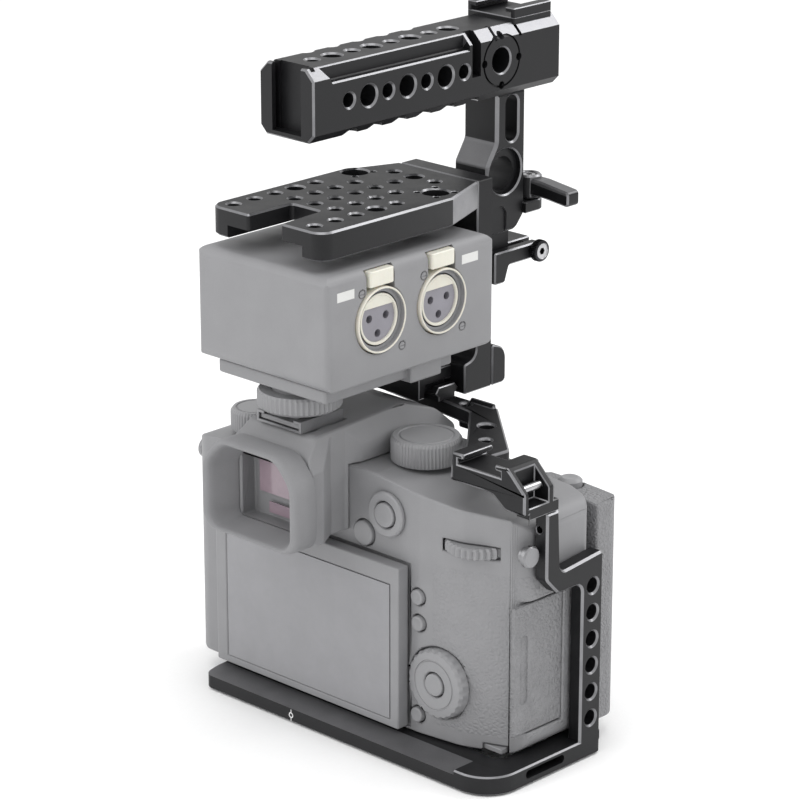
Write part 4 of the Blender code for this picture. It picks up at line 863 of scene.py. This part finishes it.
shoe_low = 102.4
shoe_wall = [(-9.8, shoe_low), (9.8, shoe_low), (9.8, shoe_low + 3.8), (6.6, shoe_low + 3.8),
             (6.6, shoe_low + 2.9), (8.9, shoe_low + 2.9), (8.9, shoe_low + 0.8)]
shoe_wall += [(-x, z) for x, z in reversed(shoe_wall[2:])]
piece("hot_shoe_plate", bar("y", np.array(shoe_wall), -54.0, -35.0, 0.12, tones=(0, 0)), (PLATED,),
      ["hot_shoe"])
ring = lathe("y", lens_axis, [(30.5, 8.5), (30.5, 9.7), (30.2, 10.0), (22.3, 10.0), (22.0, 9.7), (22.0, 8.5)],
             128, loop=True)
ring_cuts = [drill("y", (26.5 * math.cos(a), 52.0 + 26.5 * math.sin(a)), 0.9, 9.3, 10.0, 0.5, (False, True),
                   20)
             for a in np.radians((20.0, 110.0, 200.0, 290.0))]
piece("lens_mount_plated", carve(ring, *ring_cuts), (PLATED,), ["lens_mount"])
piece("image_sensor_glass", slab(-9.5, 9.5, -7.7, -6.2, 44.5, 59.5), (SENSOR,), ["image_sensor"], bevel=0.15)
for where, side, face in (("left", -1.0, 57.8), ("right", 1.0, 81.3)):
    lug = lathe("x", (-29.0, 74.5), [(2.6, side * face), (2.6, side * (face + 0.9)),
                                     (2.1, side * (face + 1.1)), (3.1, side * (face + 1.3)),
                                     (3.6, side * (face + 1.8)), (3.6, side * (face + 3.1)),
                                     (3.1, side * (face + 3.6))], 48)
    piece("strap_lug_" + where + "_plated", carve(lug,
                                                  drill("z", (side * (face + 2.5), -29.0), 0.7, 70.0, 79.0,
                                                        0.2)),
          (PLATED,), ["strap_lug_" + where])


# ------------------------------------------------------------ screen
# Swing-out monitor on a side hinge: a frame moulded in the same painted plastic as the shell. Its cover glass is
# bonded in, almost level with the rim.

SCREEN = finish_material("screen_glass", "#828285", "#868689", 0.0, (0.16, 0.22), 2.5, 0.001, Coat_Weight=0.5)
# smooth glass over a switched-off panel: the only even, shiny face of the camera's back
panel = slab(-42.0, 41.5, -43.0, -38.3, 8.0, 62.8)
panel = carve(panel, slab(-37.0, 37.8, -50.0, -42.3, 10.4, 56.6))
piece("screen_panel_paint", panel, (GREY,), ["screen_panel"], bevel=0.45)
piece("screen_glass_sheet", slab(-36.7, 37.5, -42.9, -42.5, 10.7, 56.3), (SCREEN,), ["screen_glass"],
      bevel=0.08)


# ------------------------------------------------------------ dials
# Dials and buttons, turned or moulded and then painted. The dials have a straight knurl round the rim, a thin
# groove and a shallow dish; the buttons have a rounded rim. Each sits in its own pocket in the shell.

def dial(axis, centre, stem, low, rim, radius, top, teeth, dish, depth=0.035):
    """A stem with a knurled cap on it; the cap's face has a groove ring and a shallow dish."""
    way = 1.0 if top > low else -1.0
    profile = [(stem, low), (stem, rim), (radius - 0.5, rim), (radius, rim + 0.4 * way),
               (radius, top - 1.1 * way), (radius - 0.8, top), (radius * 0.80, top),
               (radius * 0.78, top - 0.35 * way),
               (radius * 0.74, top - 0.35 * way), (radius * 0.72, top), (radius * 0.42, top - dish * way),
               (0.3, top - dish * way)]
    return lathe(axis, centre, profile, teeth * 6, wave=knurl(depth, teeth, (3, 4)))


piece("mode_dial_knurled", dial("z", mode_axis, 2.9, 83.0, 89.9, 11.4, 98.0, 60, 0.25), (CONTROL,),
      ["mode_dial"])
piece("drive_dial_knurled", dial("z", drive_axis, 2.3, 79.0, 85.4, 8.5, 93.0, 48, 0.2), (CONTROL,),
      ["drive_dial"])
piece("thumb_wheel_knurled", lathe("z", wheel_axis, [(10.2, 71.2), (10.9, 71.8), (10.9, 74.2), (10.2, 74.8)],
                                   270, wave=knurl(0.09, 30, (0, 1, 2, 3))), (CONTROL,), ["thumb_wheel"])
piece("front_dial_knurled", lathe("z", (64.0, 16.4), [(5.1, 70.8), (5.6, 71.3), (5.6, 73.7), (5.1, 74.2)],
                                  144, wave=knurl(0.09, 24, (0, 1, 2, 3))), (CONTROL,), ["front_dial"])
rear_ring = lathe("y", rear_axis, [(11.6, -35.8), (11.6, -38.4), (10.9, -39.3), (8.4, -39.6), (8.2, -39.3),
                                   (7.9, -39.3), (7.7, -39.6), (4.6, -39.4), (4.2, -39.0), (4.2, -35.8)],
                  240, wave=knurl(0.04, 24, (1, 2)), loop=True)
piece("rear_dial_knurled", rear_ring, (CONTROL,), ["rear_dial"])


def button(centre, radius, back, front, dish=0.25):
    """A round button facing the camera's back, with a rounded rim and a dished face."""
    t = np.linspace(0.0, np.pi / 2.0, 5)
    rim = [(radius - 0.5 + 0.5 * math.cos(a), front + 0.5 - 0.5 * math.sin(a)) for a in t]
    return lathe("y", centre, [(radius, back), *rim, (radius * 0.45, front + dish), (0.2, front + dish)], 48)


for name, centre, radius, back, front in (("set_button", rear_axis, 3.7, -35.0, -39.8),
                                          ("menu_button", (45.3, 53.1), 2.5, -36.0, -39.0),
                                          ("display_button", (45.4, 13.1), 2.5, -36.0, -39.0),
                                          ("play_button", (45.6, 44.3), 2.5, -36.0, -39.0),
                                          ("lock_button", (22.0, 68.5), 4.1, -36.0, -39.0),
                                          ("focus_button", focus_axis, 4.0, -36.0, -40.4)):
    piece(name + "_paint", button(centre, radius, back, front), (CONTROL,), [name])
lever_ring = lathe("y", focus_axis, [(7.4, -38.3), (7.4, -39.3), (6.9, -39.8), (4.9, -39.8), (4.5, -39.4),
                                     (4.5, -38.3)], 72, loop=True)
piece("focus_lever_paint", lever_ring, (CONTROL,), ["focus_lever"])
shutter = lathe("z", shutter_axis, [(4.1, 81.8), (4.1, 83.7), (3.6, 84.3), (2.6, 84.8), (0.3, 84.5)], 48)
piece("shutter_button_paint", shutter, (CONTROL,), ["shutter_button"])
release = lathe("y", release_axis, [(4.2, 4.4), (4.2, 7.2), (3.7, 7.8), (0.3, 7.5)], 48)
piece("lens_release_paint", release, (CONTROL,), ["lens_release"])


# ------------------------------------------------------------ doors
# Card door in leatherette with a moulded thumb rest, three rubber port doors on the left side, and the painted
# battery door underneath. Each lies in a recess of the shell.


def stack(axis, outline, low, high, radius, steps=4, tone=0):
    """A block with rounded rims: the outline is drawn in along a quarter circle of the radius at both ends."""
    t = np.linspace(0.0, np.pi / 2.0, steps + 1)
    inward = radius * (1.0 - np.sin(t))
    rise = radius * (1.0 - np.cos(t))
    levels = np.concatenate([low + rise, (high - rise)[::-1]])
    shifts = np.concatenate([inward, inward[::-1]])
    points = np.concatenate([oriented(axis, grown(outline, -s), h) for s, h in zip(shifts, levels)])
    count = len(outline)
    faces = band(count, 0, len(levels)).tolist()
    last = count * (len(levels) - 1)
    faces += [list(range(count)), list(range(last, last + count))]
    return points, faces, [tone] * len(faces)


thumb_rest = stack("x", box_outline(-29.0, -26.0, 24.0, 47.0, 1.4, 6), 80.2, 84.0, 0.5)
piece("card_door_paint", carve(slab(79.2, 80.8, -32.0, -10.0, 14.0, 57.0), thumb_rest), (LEATHER,),
      ["card_door"], bevel=0.3)
for k, name in enumerate(("port_door_low", "port_door_middle", "port_door_high")):
    piece(name + "_rubber", slab(-57.3, -55.9, -29.0, -5.0, 11.0 + 20.6 * k, 31.0 + 20.6 * k), (RUBBER,),
          [name], bevel=0.4)
catch = slab(70.0, 73.0, -22.0, -14.0, 6.0, 7.4)
piece("battery_door_paint", carve(slab(50.6, 76.0, -32.4, -4.0, 6.9, 8.6), catch), (GREY,), ["battery_door"],
      bevel=0.25)


# ------------------------------------------------------------ audio adapter
# Moulded case on a sliding foot that fits the hot shoe and is held by a knurled lock ring. Two level dials stand
# out of its left side.

case_side = prism("x", [(-61.0, 121.0), (14.4, 121.0), (14.4, 158.0), (-61.0, 158.0)], [4, 5, 6, 4], -35.0,
                  35.0)
case_front = prism("y", [(-29.0, 121.0), (29.0, 121.0), (29.0, 158.0), (-29.0, 158.0)], [1.2, 1.2, 4, 4],
                   -70.0, 20.0)
case_plan = prism("z", [(-29.0, -61.0), (29.0, -61.0), (29.0, 14.4), (-29.0, 14.4)], [2.4] * 4, 115.0, 162.0)
case = common(case_side, case_front, case_plan)
jacks = (("rear", -37.7), ("front", -10.3))
jack_height, level_height = 140.5, 147.0
screw_places = ((-8.0, 9.8), (9.6, -10.6))
lock_axis = (0.0, -44.5)
case_cuts = [drill("x", (y, jack_height), 11.0, 7.0, 29.0, 0.3, (False, True), 72) for _, y in jacks]
case_cuts += [slab(23.0, 40.0, y - 6.2, y + 6.2, 148.5, 157.2) for _, y in jacks]
case_cuts += [drill("x", (y, level_height), 5.4, -29.0, -24.0, 0.2, (True, False), 40) for y in (-40.0,
                                                                                                 -12.0)]
case_cuts += [drill("x", (y + dy, jack_height + dz), 1.5, 28.5, 29.0, 0.2, (False, True), 24)
              for _, y in jacks for dy, dz in screw_places]
piece("adapter_case_plastic", carve(case, *case_cuts), (GREY,), ["adapter_case"])

for name, y in jacks:
    for k, (dy, dz) in enumerate(screw_places):
        head = lathe("x", (y + dy, jack_height + dz), [(1.2, 28.55), (1.2, 28.9), (0.9, 29.0)], 24)
        piece("case_screw_%s_%d" % (name, k), carve(head, slab(28.8, 29.5, y + dy - 1.0, y + dy + 1.0,
                                                               140.3 + dz, 140.7 + dz)),
              (PLATED,), [], body="root")

foot_parts = [slab(-24.0, 24.0, -57.0, 0.0, 116.0, 120.7, 0.6),
              slab(-26.0, 26.0, -21.0, -7.0, 114.8, 120.7, 0.4),
              lathe("z", lock_axis, [(9.0, 106.4), (9.0, 117.0)], 72),
              slab(-8.6, 8.6, -53.3, -35.7, 103.5, 105.1),
              slab(-6.0, 6.0, -50.5, -38.5, 104.6, 106.9)]
piece("adapter_foot_plastic", joined(*foot_parts), (GREY,), ["adapter_foot"], bevel=0.2)
lock = lathe("z", lock_axis, [(12.6, 107.6), (13.6, 108.4), (13.6, 112.8), (12.9, 113.6), (9.3, 113.6),
                              (9.3, 107.6)], 288, wave=knurl(0.035, 48, (1, 2)), loop=True)
piece("lock_ring_knurled", lock, (CONTROL,), ["lock_ring"])
for name, y in (("rear", -40.0), ("front", -12.0)):
    level = lathe("x", (y, level_height), [(5.0, -24.4), (5.0, -29.5), (5.0, -30.4), (4.4, -31.0)], 120,
                  wave=knurl(0.05, 30, (1, 2)))
    piece("level_dial_" + name + "_knurled", carve(level, slab(-31.6, -30.5, y - 0.3, y + 0.3, 147.6, 152.0)),
          (CONTROL,), ["level_dial_" + name])


# ------------------------------------------------------------ audio connectors
# Two three-contact sockets: a cream flange with a raised rim, a darker insert with three contact holes and a
# cream crescent above them, and a cream latch tab over each socket.

CREAM = finish_material("cream_plastic", "#d8d3c6", "#e0dccf", 0.0, (0.34, 0.44), 0.5, 0.006,
                        Subsurface_Weight=0.05)
# moulded glass-filled plastic: warm white with a soft sheen
INSERT = finish_material("insert_plastic", "#848289", "#8e8c94", 0.0, (0.42, 0.52), 0.4, 0.006)
# the insert is a cooler, darker moulding
LABEL = finish_material("blank_label", "#d2d2d0", "#d8d8d6", 0.0, (0.5, 0.6), 0.6, 0.004)
# a plain printed foil with nothing on it

for name, y in jacks:
    shell_profile = [(10.6, 9.0), (10.6, 29.6), (10.4, 29.9), (10.1, 29.9), (9.95, 29.6), (9.9, 28.1),
                     (8.75, 28.1), (8.7, 27.9), (8.7, 15.0), (0.4, 15.0)]
    piece("jack_shell_" + name + "_plastic", lathe("x", (y, jack_height), shell_profile, 96,
                                                   [0, 0, 0, 0, 1, 1, 1, 1, 1, 1]),
          (CREAM, GREY), ["jack_shell_" + name])
    insert = lathe("x", (y, jack_height), [(8.3, 15.4), (8.3, 28.1), (8.15, 28.35), (7.6, 28.35), (7.4, 28.1),
                                           (7.35, 27.6)],
                   72, [0, 1, 1, 1, 1, 0])
    pins = [rod("x", (y + 3.9 * math.cos(a), 139.7 + 3.9 * math.sin(a)), 1.3, 20.0, 28.0, 28)
            for a in np.radians((20.0, 160.0, 270.0))]
    t = np.radians(np.linspace(32.0, 148.0, 24))
    crescent = bar("x", np.stack([y + 7.5 * np.cos(t), jack_height + 7.5 * np.sin(t)], 1), 26.0, 28.2, 0.15,
                   tones=(1, 1))
    insert = joined(carve(insert, *pins), crescent)
    piece("jack_insert_" + name + "_plastic", insert, (INSERT, CREAM), ["jack_insert_" + name])
    tab = arcs([(24.6, y - 5.2), (29.9, y - 5.2), (29.9, y + 5.2), (24.6, y + 5.2)], [0.3, 0.8, 0.8, 0.3], 6)
    piece("latch_tab_" + name + "_plastic", bar("z", tab, 151.7, 156.8, 0.3, tones=(0, 0)), (CREAM,),
          ["latch_tab_" + name])
for name, y, z in (("rear", -52.9, 151.4), ("front", 2.6, 151.8)):
    piece("label_" + name, slab(28.97, 29.04, y - 3.7, y + 3.7, z - 1.5, z + 1.5), (LABEL,), [],
          body="root")
